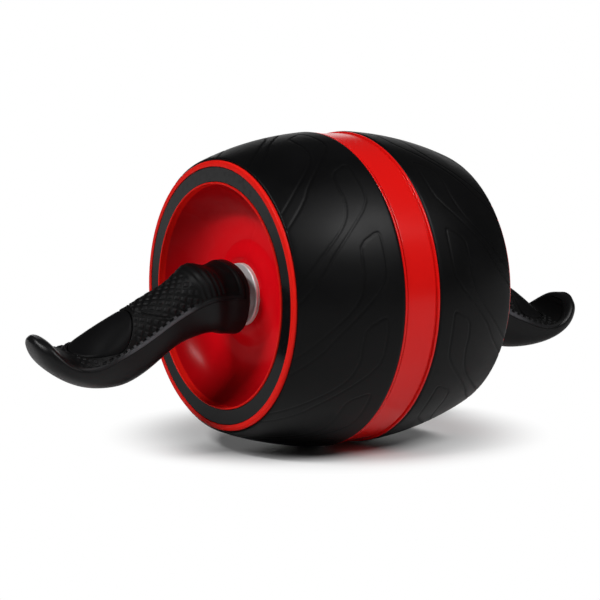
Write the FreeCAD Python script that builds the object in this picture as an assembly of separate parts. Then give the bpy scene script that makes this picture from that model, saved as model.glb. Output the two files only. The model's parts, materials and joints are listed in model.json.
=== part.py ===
import FreeCAD, Part
import math
import os

# Ab wheel roller: a wide barrel wheel that turns on a steel axle tube, with a
# coiled return spring inside and a drooping, cushioned handle on each end.
# Millimetres. The axle lies along Y, +Z is up, the origin is the wheel's centre.
# "left" is the +Y end and "right" the -Y end.

V = FreeCAD.Vector
CENTRE = V(0, 0, 0)
AXLE = V(0, 1, 0)

# Barrel: crown of the tread, centre band and rim
TREAD_RADIUS = 92.5          # largest radius, at the edges of the band
CROWN_RADIUS = 200.0         # curve of the barrel from side to side
TREAD_THICKNESS = 6.0
TREAD_LIP = 1.1              # rubber left standing round the rim
TREAD_SETBACK = 0.4          # end of the rubber short of the rim's face
SHOULDER_ROUND = 3.0
SHOULDER_LIFT = 0.5          # shoulder above the crown's curve
BAND_HALF_WIDTH = 12.2
BAND_RECESS = 1.2            # band face below the tread
BAND_LIP_WIDTH = 1.3
BAND_LIP_RECESS = 0.3        # band's edge beads below the tread
BAND_STEP = 0.4              # band's seat below the treads' seat
RIM_FACE = 77.0              # half width of the barrel
RIM_RADIUS = 77.4
RIM_LENGTH = 6.8             # depth of the rim that the tread ends on
RIM_ROUND = 1.2
BOND = 0.1                   # glue line between fixed pieces

# Line grooves of the tread: one hooked outline, open at the shoulder, repeated round it
GROOVE_WIDTH = 1.3
GROOVE_DEPTH = 0.7
GROOVE_REPEATS = 12
# Corners of the outline: degrees round the wheel, distance out from the middle
GROOVE_PATH = [
    (8.4, 75.0), (20.0, 58.3), (28.8, 44.5), (33.8, 39.5), (40.0, 37.2), (51.5, 36.4), (56.0, 24.5),
    (53.8, 23.0), (42.5, 23.0), (36.9, 25.1), (25.0, 43.9), (12.5, 59.5), (1.4, 75.0),
]

# Moulded core halves
CORE_WALL = 3.0
LAP_LENGTH = 4.0             # tongue that centres one half in the other
LAP_WALL = 1.4
DISH_VALLEY_RADIUS = 36.5    # where the dish is deepest
DISH_DEPTH = 21.2            # rim face to the deepest point
DISH_RISE = 18.4             # height of the dish's curve
DISH_BACK = 2.4              # wall behind the mouth of the dish
DISH_LIP_WIDTH = 1.1
DISH_LIP_HEIGHT = 0.4
RING_MARGIN = 3.6            # red rim outside the face ring
RING_WIDTH = 8.6
RING_GROOVE_DEPTH = 1.6
RING_THICKNESS = 1.2
BOSS_RADIUS = 29.0           # raised hub in the middle of the dish
BOSS_ROUND = 3.0
BOSS_EDGE = 0.2
HUB_INSET = 17.0             # hub's face below the rim's face
HUB_SLEEVE_RADIUS = 22.0
HUB_SLEEVE_END = 34.0

# Screws that draw the halves together
POST_COUNT = 4
POST_CIRCLE = 46.0
POST_RADIUS = 6.0
POST_BORE = 4.8
SCREW_HEAD_RADIUS = 4.2
SCREW_HEAD_HEIGHT = 2.8
SCREW_RADIUS = 1.6
SCREW_SEAT = 10.0
SCREW_GRIP = 16.0            # depth in the far half
SCREW_PLAY = 0.3

# Axle, bushes and end washers
TUBE_RADIUS = 12.7           # one inch tube
TUBE_WALL = 2.0
TUBE_HALF_LENGTH = 93.0
RUNNING_FIT = 0.06
PRESS_GAP = 0.05
BUSH_RADIUS = 16.0
BUSH_FLANGE_RADIUS = 18.0
BUSH_FLANGE = 1.6
FLANGE_RADIUS = 18.1
FLANGE_THICKNESS = 2.0
END_PLAY = 0.3

# Return spring and its drum
ARBOR_RADIUS = 17.0
ARBOR_HALF_LENGTH = 12.6
ARBOR_SLOT_DEPTH = 2.8
ARBOR_PIN_RADIUS = 2.5
ARBOR_PIN_SETBACK = 0.5
DRUM_RADIUS = 39.0
DRUM_WALL = 2.0
DRUM_HALF_LENGTH = 11.0
EAR_HALF_THICKNESS = 2.0
SPRING_THICKNESS = 0.7
SPRING_PITCH = 1.5
SPRING_TURNS = 6
SPRING_PLAY = 0.4
SPRING_TAIL = 2.4
HOOK_RADIUS = 3.0
HOOK_PIN_RADIUS = 2.2

# Handles
HANDLE_LEAN = 12.0           # degrees that the handles hang back about the axle
COLLAR_GAP = 7.1             # bare tube between the washer and the collar
TUBE_END_GAP = 0.5
SOCKET_FIT = 0.15
SECTION_POWER = 2.4          # 2 is an ellipse, more is squarer
LEAST_HALF = 0.8             # least half size of an inset section
GRIP_THICKNESS = 2.4
GRIP_SEAM = 0.35
GRIP_START = 2.6             # along the handle from its inner end
GRIP_END = 127.0
PARTING_RISE = 2.0           # seam above the middle of the section
PAD_CENTRE = 81.2
PAD_HALF_LENGTH = 19.4
PAD_HALF_WIDTH = 16.8
PAD_CROWN = 0.5
PAD_FLOOR = 3.5              # the pad lies this far above the middle line or more
PAD_REACH = 20.0
# Sections: out from the handle's inner end, drop, half width, height above, depth below
HANDLE_SECTIONS = [
    (0.0, 0.0, 23.2, 18.8, 21.4),
    (7.4, 0.0, 21.6, 17.3, 20.6),
    (13.0, 0.5, 20.4, 16.9, 19.5),
    (18.5, 1.2, 19.8, 19.5, 19.2),
    (24.5, 4.0, 17.3, 19.2, 17.5),
    (42.2, 12.2, 15.2, 17.9, 15.2),
    (63.0, 23.6, 15.6, 18.0, 18.7),
    (78.5, 29.8, 18.1, 14.8, 16.4),
    (95.0, 33.6, 19.9, 9.2, 11.0),
    (109.5, 29.0, 19.3, 4.8, 8.0),
    (117.0, 22.9, 14.6, 4.5, 6.8),
    (121.8, 18.8, 8.0, 3.8, 3.9),
    (123.5, 17.0, 3.4, 2.0, 2.4),
]

# Snap buttons that lock the handles on the tube
BUTTON_FROM_END = 8.0        # middle of the button in from the tube's end
BUTTON_RADIUS = 3.9
BUTTON_PLAY = 0.3
BUTTON_TRAVEL = 4.6          # pressed, the button lies just inside the tube
BUTTON_EDGE = 0.8
BUTTON_SEAT_WALL = 3.0       # collar left round the tube in the finger recess
BUTTON_FLANGE_RADIUS = 5.4
BUTTON_FLANGE = 1.4
FINGER_RECESS_FLOOR = 6.0
FINGER_RECESS_MOUTH = 11.0
FINGER_RECESS_DEPTH = 8.5
LEAF_THICKNESS = 0.6
LEAF_WIDTH = 5.0
LEAF_LENGTH = 24.0

# Points and steps that draw the smooth curves
SECTION_POINTS = 20
SEAM_STEPS = 14
HALVINGS = 60
ROUND_MIDDLE = math.sqrt(0.5)

# Places that follow from the sizes
HUB_FACE = RIM_FACE - HUB_INSET
WASHER_FACE = HUB_FACE + END_PLAY + FLANGE_THICKNESS
HANDLE_START = WASHER_FACE + COLLAR_GAP
SOCKET_END = TUBE_HALF_LENGTH + TUBE_END_GAP
RING_OUTER_RADIUS = RIM_RADIUS - RING_MARGIN
RING_INNER_RADIUS = RING_OUTER_RADIUS - RING_WIDTH
DISH_LIP_RADIUS = RING_INNER_RADIUS - BOND
DISH_RADIUS = DISH_LIP_RADIUS - DISH_LIP_WIDTH
DISH_REACH = DISH_RADIUS - DISH_VALLEY_RADIUS
DISH_CURVE = (DISH_REACH ** 2 + DISH_RISE ** 2) / (2 * DISH_RISE)
BUTTON_PROUD = BUTTON_TRAVEL - BUTTON_SEAT_WALL - BUTTON_PLAY


def face_of(edges):
    """A flat face inside a closed run of edges."""
    return Part.Face(Part.Wire(edges))


def straight(points):
    """Straight edges from point to point."""
    return [Part.LineSegment(a, b).toShape() for a, b in zip(points, points[1:])]


def run(points):
    """Straight edges from point to point, given as (radius, y)."""
    return straight([V(r, y, 0) for r, y in points])


def arc(first, middle, last):
    """One arc edge through three (radius, y) points."""
    points = [V(r, y, 0) for r, y in (first, middle, last)]
    return Part.Arc(*points).toShape()


def turned(edges):
    """A body of revolution about the axle from a half profile."""
    return Part.Solid(face_of(edges).revolve(CENTRE, AXLE, 360))


def ring(inner, outer, start, end):
    """A plain turned ring between two radii and two stations on the axle."""
    corners = [(inner, start), (outer, start), (outer, end), (inner, end), (inner, start)]
    return turned(run(corners))


def rod(radius, x, z, start, end):
    """A round bar parallel to the axle."""
    return Part.makeCylinder(radius, end - start, V(x, start, z), AXLE)


def mirrored(shape):
    """The same piece for the other end of the axle."""
    return shape.mirror(CENTRE, AXLE)


def leaned(shape):
    """A piece turned with the handles about the axle."""
    copy = shape.copy()
    copy.rotate(CENTRE, AXLE, HANDLE_LEAN)
    return copy


CROWN_CENTRE = TREAD_RADIUS - math.sqrt(CROWN_RADIUS ** 2 - BAND_HALF_WIDTH ** 2)


def crown(y, depth=0.0):
    """Radius of the barrel's crown at y, at a depth under the tread."""
    return CROWN_CENTRE + math.sqrt((CROWN_RADIUS - depth) ** 2 - y ** 2)


def crown_arc(start, end, depth=0.0):
    """Arc of the crown between two stations."""
    middle = (start + end) / 2
    ends = [(crown(y, depth), y) for y in (start, middle, end)]
    return arc(*ends)


RIM_STEP = RIM_FACE - RIM_LENGTH
SEAT_DEPTH = TREAD_THICKNESS + BOND
BAND_SEAT = TREAD_RADIUS - SEAT_DEPTH - BAND_STEP
INNER_WALL = BAND_SEAT - CORE_WALL


TREAD_START = BAND_HALF_WIDTH + BOND
TREAD_END = RIM_FACE - TREAD_SETBACK
SHOULDER = TREAD_END - SHOULDER_ROUND


def tread_point(y, depth=0.0):
    """Point of the tread's surface at y, or of a surface under it."""
    return (crown(y) + SHOULDER_LIFT * (y / SHOULDER) ** 2 - depth, y)


def tread_arc(start, end, depth=0.0):
    """Arc of the tread's surface between two stations."""
    return arc(tread_point(start, depth), tread_point((start + end) / 2, depth), tread_point(end, depth))


def groove_bar(first, last):
    """Straight bar along one run of the groove, standing square to the tread."""
    first_angle, first_y = first
    last_angle, last_y = last
    angle = math.radians((first_angle + last_angle) / 2)
    y = (first_y + last_y) / 2
    outward = V(math.cos(angle), 0, math.sin(angle))
    around = V(-math.sin(angle), 0, math.cos(angle))
    run_round = crown(y) * math.radians(last_angle - first_angle)
    ahead = around * run_round + AXLE * (last_y - first_y)
    length = ahead.Length + GROOVE_WIDTH
    corner = V(-length / 2, -GROOVE_WIDTH / 2, -TREAD_THICKNESS / 2)
    bar = Part.makeBox(length, GROOVE_WIDTH, TREAD_THICKNESS, corner)
    ahead.normalize()
    turn = FreeCAD.Rotation(ahead, outward.cross(ahead), outward, "ZXY")
    bar.Placement = FreeCAD.Placement(outward * crown(y) + AXLE * y, turn)
    return bar


def groove_cutters():
    """Every copy of the groove outline, as deep as the grooves all along."""
    bars = [groove_bar(a, b) for a, b in zip(GROOVE_PATH, GROOVE_PATH[1:])]
    outline = bars[0].multiFuse(bars[1:])
    low = tread_arc(TREAD_START, TREAD_END, GROOVE_DEPTH)
    high = tread_arc(TREAD_END, TREAD_START, -GROOVE_DEPTH)
    ends = run([tread_point(TREAD_END, GROOVE_DEPTH), tread_point(TREAD_END, -GROOVE_DEPTH)])
    starts = run([tread_point(TREAD_START, -GROOVE_DEPTH), tread_point(TREAD_START, GROOVE_DEPTH)])
    outline = outline.common(turned([low] + ends + [high] + starts))
    copies = []
    for k in range(GROOVE_REPEATS):
        copy = outline.copy()
        copy.rotate(CENTRE, AXLE, 360.0 * k / GROOVE_REPEATS)
        copies.append(copy)
    return Part.makeCompound(copies)


def make_tread():
    """Rubber sleeve of the left half, from the band to the rim, with its line grooves."""
    seat = RIM_RADIUS + BOND
    step = RIM_STEP - BOND
    lip = (seat + TREAD_LIP, TREAD_END)
    top = tread_point(SHOULDER)
    bend = (lip[0] + (top[0] - lip[0]) * ROUND_MIDDLE, SHOULDER + SHOULDER_ROUND * ROUND_MIDDLE)
    edges = [tread_arc(TREAD_START, SHOULDER), arc(top, bend, lip)]
    edges += run([lip, (seat, TREAD_END), (seat, step), (crown(step, TREAD_THICKNESS), step)])
    edges.append(crown_arc(step, TREAD_START, TREAD_THICKNESS))
    edges += run([(crown(TREAD_START, TREAD_THICKNESS), TREAD_START), tread_point(TREAD_START)])
    return turned(edges).cut(groove_cutters())


def make_band():
    """Coloured hoop between the treads, with a bead along each edge."""
    face = TREAD_RADIUS - BAND_RECESS
    bead = TREAD_RADIUS - BAND_LIP_RECESS
    foot = BAND_SEAT + BOND
    edge = BAND_HALF_WIDTH
    inside = edge - BAND_LIP_WIDTH
    slope = (bead - face) / 2
    edges = run([(face, -inside + slope), (bead, -inside), (bead, -edge), (foot, -edge)])
    edges += run([(foot, -edge), (foot, edge), (bead, edge), (bead, inside), (face, inside - slope)])
    edges.append(arc((face, inside - slope), (face + slope / 2, 0), (face, -inside + slope)))
    return turned(edges)


DISH_FLOOR = RIM_FACE - DISH_DEPTH
DISH_CENTRE = (DISH_VALLEY_RADIUS, DISH_FLOOR + DISH_CURVE)


def dish_point(radius_from_axle, offset=0.0):
    """Station of the dish wall at a radius, offset into the plastic."""
    reach = radius_from_axle - DISH_CENTRE[0]
    return (radius_from_axle, DISH_CENTRE[1] - math.sqrt((DISH_CURVE + offset) ** 2 - reach ** 2))


def make_core(tongue):
    """One moulded half: hub, dish, rim, drum wall and screw posts."""
    groove = RIM_FACE - RING_GROOVE_DEPTH
    lip = RIM_FACE + DISH_LIP_HEIGHT
    groove_outer = RING_OUTER_RADIUS + BOND
    back = RIM_FACE - RING_GROOVE_DEPTH - CORE_WALL
    seat = HUB_FACE - BUSH_FLANGE - BOND
    bore = BUSH_RADIUS + PRESS_GAP
    boss_top = HUB_FACE - BOSS_EDGE
    foot = BOSS_RADIUS + BOSS_ROUND
    bend = BOSS_ROUND * (1 - ROUND_MIDDLE)
    dish_end = dish_point(DISH_RADIUS)
    wall_step = RIM_STEP
    edges = run([
        (bore, HUB_SLEEVE_END), (bore, seat), (BUSH_FLANGE_RADIUS + BOND, seat),
        (BUSH_FLANGE_RADIUS + BOND, HUB_FACE), (BOSS_RADIUS - BOSS_EDGE, HUB_FACE), (BOSS_RADIUS, boss_top),
        (BOSS_RADIUS, DISH_FLOOR + BOSS_ROUND)])
    edges.append(arc((BOSS_RADIUS, DISH_FLOOR + BOSS_ROUND), (BOSS_RADIUS + bend, DISH_FLOOR + bend),
                     (foot, DISH_FLOOR)))
    edges += run([(foot, DISH_FLOOR), (DISH_VALLEY_RADIUS, DISH_FLOOR)])
    edges.append(arc((DISH_VALLEY_RADIUS, DISH_FLOOR),
                     dish_point((DISH_VALLEY_RADIUS + DISH_RADIUS) / 2), dish_end))
    edges += run([
        dish_end, (DISH_RADIUS, lip), (DISH_LIP_RADIUS, lip), (DISH_LIP_RADIUS, groove),
        (groove_outer, groove), (groove_outer, RIM_FACE), (RIM_RADIUS - RIM_ROUND, RIM_FACE)])
    round_mid = RIM_ROUND * (1 - ROUND_MIDDLE)
    edges.append(arc((RIM_RADIUS - RIM_ROUND, RIM_FACE), (RIM_RADIUS - round_mid, RIM_FACE - round_mid),
                     (RIM_RADIUS, RIM_FACE - RIM_ROUND)))
    edges += run([(RIM_RADIUS, RIM_FACE - RIM_ROUND), (RIM_RADIUS, wall_step),
                  (crown(wall_step, SEAT_DEPTH), wall_step)])
    edges.append(crown_arc(wall_step, BAND_HALF_WIDTH, SEAT_DEPTH))
    edges += run([(crown(BAND_HALF_WIDTH, SEAT_DEPTH), BAND_HALF_WIDTH), (BAND_SEAT, BAND_HALF_WIDTH),
                  (BAND_SEAT, 0)])
    if tongue:
        edges += run([(BAND_SEAT, 0), (INNER_WALL + LAP_WALL, 0), (INNER_WALL + LAP_WALL, -LAP_LENGTH),
                      (INNER_WALL, -LAP_LENGTH), (INNER_WALL, BAND_HALF_WIDTH)])
    else:
        lap = INNER_WALL + LAP_WALL + BOND
        edges += run([(BAND_SEAT, 0), (lap, 0), (lap, LAP_LENGTH + BOND), (INNER_WALL, LAP_LENGTH + BOND),
                      (INNER_WALL, BAND_HALF_WIDTH)])
    inner_depth = SEAT_DEPTH + CORE_WALL
    edges += run([(INNER_WALL, BAND_HALF_WIDTH), (crown(BAND_HALF_WIDTH, inner_depth), BAND_HALF_WIDTH)])
    wall_end = wall_step - CORE_WALL
    edges.append(crown_arc(BAND_HALF_WIDTH, wall_end, inner_depth))
    shell = DISH_RADIUS + DISH_BACK
    shell_foot = dish_point(shell, CORE_WALL)
    valley_back = DISH_FLOOR - CORE_WALL
    inner_end = crown(wall_end, inner_depth)
    edges += run([(inner_end, wall_end), (inner_end, back), (shell, back), shell_foot])
    edges.append(arc(shell_foot, dish_point((DISH_VALLEY_RADIUS + shell) / 2, CORE_WALL),
                     (DISH_VALLEY_RADIUS, valley_back)))
    edges += run([(DISH_VALLEY_RADIUS, valley_back), (HUB_SLEEVE_RADIUS, valley_back),
                  (HUB_SLEEVE_RADIUS, HUB_SLEEVE_END), (bore, HUB_SLEEVE_END)])
    return turned(edges)


def post_places():
    """Centres of the screw posts round the axle, as (x, z)."""
    step = 360.0 / POST_COUNT
    angles = [math.radians(step * (k + 0.5)) for k in range(POST_COUNT)]
    return [(POST_CIRCLE * math.cos(a), POST_CIRCLE * math.sin(a)) for a in angles]


def add_posts(core, screwed):
    """Posts from the dish to the middle: bored for a head, or blind for the thread."""
    near = EAR_HALF_THICKNESS + PRESS_GAP
    root = dish_point(POST_CIRCLE)[1] - CORE_WALL / 2
    for x, z in post_places():
        core = core.fuse(rod(POST_RADIUS, x, z, near, root))
    for x, z in post_places():
        if screwed:
            core = core.cut(rod(POST_BORE, x, z, SCREW_SEAT, RIM_FACE))
            core = core.cut(rod(SCREW_RADIUS + SCREW_PLAY, x, z, 0, SCREW_SEAT))
        else:
            core = core.cut(rod(SCREW_RADIUS + BOND, x, z, 0, SCREW_GRIP + 2 * SCREW_PLAY))
    return core


def make_screw(x, z):
    """Pan-head screw from the left half through the drum's ear into the right half."""
    shank = rod(SCREW_RADIUS, x, z, -SCREW_GRIP, SCREW_SEAT + SCREW_HEAD_HEIGHT / 2)
    head = rod(SCREW_HEAD_RADIUS, x, z, SCREW_SEAT, SCREW_SEAT + SCREW_HEAD_HEIGHT)
    return shank.fuse(head).removeSplitter()


def make_face_ring():
    """Glossy inlay in the rim's groove."""
    start = RIM_FACE - RING_GROOVE_DEPTH
    return ring(RING_INNER_RADIUS, RING_OUTER_RADIUS, start, start + RING_THICKNESS)


def make_bush():
    """Flanged plain bearing, pressed in the hub and running on the tube."""
    inner = TUBE_RADIUS + RUNNING_FIT
    seat = HUB_FACE - BUSH_FLANGE
    corners = [(inner, HUB_SLEEVE_END), (BUSH_RADIUS, HUB_SLEEVE_END), (BUSH_RADIUS, seat),
               (BUSH_FLANGE_RADIUS, seat), (BUSH_FLANGE_RADIUS, HUB_FACE - BOND), (inner, HUB_FACE - BOND),
               (inner, HUB_SLEEVE_END)]
    return turned(run(corners))


def make_end_washer():
    """Bright steel washer that keeps the wheel in place on the tube."""
    start = HUB_FACE + END_PLAY
    return ring(TUBE_RADIUS + PRESS_GAP, FLANGE_RADIUS, start, start + FLANGE_THICKNESS)


def make_tube():
    """Axle tube with a hole at each end for a button and one for the arbor's pin."""
    bore = TUBE_RADIUS - TUBE_WALL
    tube = ring(bore, TUBE_RADIUS, -TUBE_HALF_LENGTH, TUBE_HALF_LENGTH)
    tube = tube.cut(button_hole()).cut(mirrored(button_hole()))
    return tube.cut(cross_bar(ARBOR_PIN_RADIUS + PRESS_GAP, TUBE_RADIUS * 2))


def cross_bar(radius, length):
    """A round bar across the axle at the middle."""
    return Part.makeCylinder(radius, length, V(0, 0, -length / 2), V(0, 0, 1))


SPRING_START = ARBOR_RADIUS + SPRING_PLAY + SPRING_THICKNESS / 2


def make_arbor():
    """Sleeve pinned to the tube, with a slot that holds the spring's inner end."""
    sleeve = ring(TUBE_RADIUS + PRESS_GAP, ARBOR_RADIUS, -ARBOR_HALF_LENGTH, ARBOR_HALF_LENGTH)
    slot_width = SPRING_THICKNESS + 2 * SPRING_PLAY
    corner = V(ARBOR_RADIUS - ARBOR_SLOT_DEPTH, -ARBOR_HALF_LENGTH, -SPRING_THICKNESS - SPRING_PLAY)
    slot = Part.makeBox(ARBOR_SLOT_DEPTH * 2, ARBOR_HALF_LENGTH * 2, slot_width, corner)
    sleeve = sleeve.cut(slot)
    return sleeve.cut(cross_bar(ARBOR_PIN_RADIUS + PRESS_GAP, DRUM_RADIUS * 2))


def make_arbor_pin():
    """Pin through the arbor and the tube."""
    return cross_bar(ARBOR_PIN_RADIUS, 2 * (ARBOR_RADIUS - ARBOR_PIN_SETBACK))


def spring_path():
    """Half turns of the spiral, as (middle x, radius, side), side +1 above the axle."""
    grow = SPRING_PITCH / 2
    turns = []
    middle = 0.0
    radius = SPRING_START
    for k in range(2 * SPRING_TURNS):
        side = 1 if k % 2 == 0 else -1
        turns.append((middle, radius, side))
        middle += side * grow
        radius += grow
    return turns


def half_circle(middle, radius, side, outward):
    """Half circle of the spring in the X-Z plane, run forwards or backwards."""
    start = V(middle + side * radius, 0, 0)
    top = V(middle, 0, side * radius)
    end = V(middle - side * radius, 0, 0)
    points = (start, top, end) if outward else (end, top, start)
    return Part.Arc(*points).toShape()


def make_spring():
    """Flat steel strip wound in a spiral, with a tail in the arbor and a hook on its pin."""
    half = SPRING_THICKNESS / 2
    turns = spring_path()
    last_middle, last_radius, last_side = turns[-1]
    end = last_middle - last_side * last_radius
    reach = hook_reach()
    sweep = (reach + end) / 2
    swing_middle = end - sweep
    swing_side = -last_side
    turns.append((swing_middle, sweep, swing_side))
    tip = swing_middle - swing_side * sweep
    turns.append((tip + HOOK_RADIUS, HOOK_RADIUS, -swing_side))
    outer = [half_circle(m, r + half, s, True) for m, r, s in turns]
    inner = [half_circle(m, r - half, s, False) for m, r, s in reversed(turns)]
    hook_middle, hook_radius, hook_side = turns[-1]
    hook_end = hook_middle - hook_side * hook_radius
    cap = straight([V(hook_end - hook_side * half, 0, 0), V(hook_end + hook_side * half, 0, 0)])
    start = turns[0][1]
    tail = [V(start - half, 0, 0), V(start - SPRING_TAIL - half, 0, 0),
            V(start - SPRING_TAIL - half, 0, -SPRING_THICKNESS), V(start + half, 0, -SPRING_THICKNESS),
            V(start + half, 0, 0)]
    face = face_of(outer + cap + inner + straight(tail))
    width = DRUM_HALF_LENGTH - SPRING_PLAY
    strip = face.extrude(V(0, 2 * width, 0))
    strip.translate(V(0, -width, 0))
    return strip


def hook_reach():
    """Radius of the strip's outermost point, just inside the drum."""
    return DRUM_RADIUS - DRUM_WALL - SPRING_PLAY - SPRING_THICKNESS / 2


def make_hook_pin():
    """Pin in the drum that the spring's outer end hooks round."""
    return rod(HOOK_PIN_RADIUS, HOOK_RADIUS - hook_reach(), 0, -DRUM_HALF_LENGTH, DRUM_HALF_LENGTH)


def make_drum():
    """Cup round the spring, with ears that the core's posts clamp."""
    bore = ARBOR_RADIUS + SPRING_PLAY
    wall = ring(DRUM_RADIUS - DRUM_WALL, DRUM_RADIUS, -DRUM_HALF_LENGTH, DRUM_HALF_LENGTH)
    floor = ring(bore, DRUM_RADIUS, -DRUM_HALF_LENGTH - DRUM_WALL, -DRUM_HALF_LENGTH)
    drum = wall.fuse(floor)
    for x, z in post_places():
        angle = math.degrees(math.atan2(z, x))
        inset = DRUM_RADIUS - DRUM_WALL / 2
        arm = Part.makeBox(POST_CIRCLE - inset, 2 * EAR_HALF_THICKNESS, 2 * POST_RADIUS,
                           V(inset, -EAR_HALF_THICKNESS, -POST_RADIUS))
        arm.rotate(CENTRE, AXLE, -angle)
        eye = rod(POST_RADIUS, x, z, -EAR_HALF_THICKNESS, EAR_HALF_THICKNESS)
        drum = drum.fuse(arm).fuse(eye)
    for x, z in post_places():
        drum = drum.cut(rod(SCREW_RADIUS + SCREW_PLAY, x, z, -DRUM_RADIUS, DRUM_RADIUS))
    return drum.removeSplitter()


def make_drum_cover():
    """Lid of the spring drum."""
    start = DRUM_HALF_LENGTH + BOND
    return ring(ARBOR_RADIUS + SPRING_PLAY, DRUM_RADIUS, start, start + DRUM_WALL)


def column(index):
    """One column of the handle's sections."""
    return [row[index] for row in HANDLE_SECTIONS]


def centre_points():
    """Middle of each handle section, in the Y-Z plane."""
    return [V(0, HANDLE_START + along, -drop) for along, drop in zip(column(0), column(1))]


def smooth(points):
    """A smooth open curve through points."""
    curve = Part.BSplineCurve()
    curve.interpolate(points)
    return curve


def frames():
    """Middle, direction and upward normal at each handle section."""
    spine = smooth(centre_points())
    result = []
    for point in centre_points():
        ahead = spine.tangent(spine.parameter(point))[0]
        result.append((point, ahead, V(0, -ahead.z, ahead.y)))
    result[0] = (result[0][0], AXLE, V(0, 0, 1))
    return result


def power(value):
    """Squared-off cosine or sine for a section between an ellipse and a box."""
    return math.copysign(abs(value) ** (2 / SECTION_POWER), value)


def section(frame, width, above, below):
    """Closed outline of the handle across its middle line."""
    middle, ahead, upward = frame
    points = []
    for k in range(SECTION_POINTS):
        angle = 2 * math.pi * (k + 0.5) / SECTION_POINTS
        side = power(math.cos(angle)) * width
        rise = power(math.sin(angle))
        height = rise * (above if rise > 0 else below)
        points.append(middle + V(side, 0, 0) + upward * height)
    curve = Part.BSplineCurve()
    curve.interpolate(Points=points, PeriodicFlag=True)
    return Part.Wire([curve.toShape()])


def handle_body(inset=0.0):
    """The handle's whole form, drawn in all round by an inset."""
    wires = []
    rows = list(zip(frames(), HANDLE_SECTIONS))
    for frame, row in rows:
        width, above, below = [max(value - inset, LEAST_HALF) for value in row[2:]]
        wires.append(section(frame, width, above, below))
    return Part.makeLoft(wires, True, False)


def at_along(distance):
    """Middle, direction and normal of the handle at a distance out along Y."""
    spine = smooth(centre_points())
    first = spine.FirstParameter
    last = spine.LastParameter
    for _ in range(HALVINGS):
        middle = (first + last) / 2
        if spine.value(middle).y < HANDLE_START + distance:
            first = middle
        else:
            last = middle
    ahead = spine.tangent(first)[0]
    return spine.value(first), ahead, V(0, -ahead.z, ahead.y)


def grip_zone(seam):
    """Side-view region above the parting line, as wide as the handle."""
    start = GRIP_START + seam
    end = min(GRIP_END - seam, HANDLE_SECTIONS[-1][0])
    low = []
    for k in range(SEAM_STEPS + 1):
        middle, _, upward = at_along(start + (end - start) * k / SEAM_STEPS)
        low.append(middle + upward * (PARTING_RISE + seam))
    reach = 2 * column(3)[0]
    first = low[0] + V(0, 0, reach)
    last = low[-1] + at_along(end)[2] * reach
    edges = [smooth(low).toShape()]
    edges += straight([low[-1], last, first, low[0]])
    width = max(column(2)) * 2
    zone = face_of(edges).extrude(V(2 * width, 0, 0))
    zone.translate(V(-width, 0, 0))
    return zone


def pad_prism(margin):
    """Oval column over the palm pad, square to the handle."""
    middle, ahead, upward = at_along(PAD_CENTRE)
    oval = Part.Ellipse(CENTRE, PAD_HALF_LENGTH - margin, PAD_HALF_WIDTH - margin)
    face = face_of([oval.toShape()])
    column_shape = face.extrude(V(0, 0, PAD_REACH))
    turn = FreeCAD.Rotation(ahead, V(-1, 0, 0), upward, "ZXY")
    column_shape.Placement = FreeCAD.Placement(middle + upward * PAD_FLOOR, turn)
    return column_shape


def button_place():
    """Where the button's middle line leaves the axle."""
    return V(0, TUBE_HALF_LENGTH - BUTTON_FROM_END, 0)


def button_hole():
    """Hole for the button, out to the back through the tube and the collar."""
    return Part.makeCylinder(BUTTON_RADIUS + BUTTON_PLAY, 2 * TUBE_RADIUS, button_place(), V(-1, 0, 0))


def finger_recess():
    """Cone cut in the collar so that a finger reaches the button."""
    floor = button_place() - V(TUBE_RADIUS + BUTTON_SEAT_WALL, 0, 0)
    return Part.makeCone(FINGER_RECESS_FLOOR, FINGER_RECESS_MOUTH, FINGER_RECESS_DEPTH, floor, V(-1, 0, 0))


def fitted(shape):
    """A handle piece with room for the tube, the button and a finger."""
    socket = rod(TUBE_RADIUS + SOCKET_FIT, 0, 0, 0, SOCKET_END)
    return shape.cut(socket).cut(button_hole()).cut(finger_recess())


def make_handle_core(body, under):
    """Hard hull of the handle, with its recess for the grip."""
    recess = body.common(grip_zone(0.0)).cut(under)
    return fitted(body.cut(recess))


def button_foot():
    """Distance of the button's inner face from the axle's middle line."""
    bore = TUBE_RADIUS - TUBE_WALL
    return math.sqrt(bore ** 2 - BUTTON_FLANGE_RADIUS ** 2) - BUTTON_PLAY - BUTTON_FLANGE


def make_button():
    """Stepped snap button, pushed out through the tube and the collar."""
    top = TUBE_RADIUS + BUTTON_SEAT_WALL + BUTTON_PROUD
    start = button_foot()
    place = button_place()
    height = top - start - BUTTON_EDGE
    stem = Part.makeCylinder(BUTTON_RADIUS, height, place - V(start, 0, 0), V(-1, 0, 0))
    edge = place - V(top - BUTTON_EDGE, 0, 0)
    dome = Part.makeCone(BUTTON_RADIUS, BUTTON_RADIUS - BUTTON_EDGE, BUTTON_EDGE, edge, V(-1, 0, 0))
    flange = Part.makeCylinder(BUTTON_FLANGE_RADIUS, BUTTON_FLANGE, place - V(start, 0, 0), V(-1, 0, 0))
    return stem.fuse(dome).fuse(flange).removeSplitter()


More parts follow.
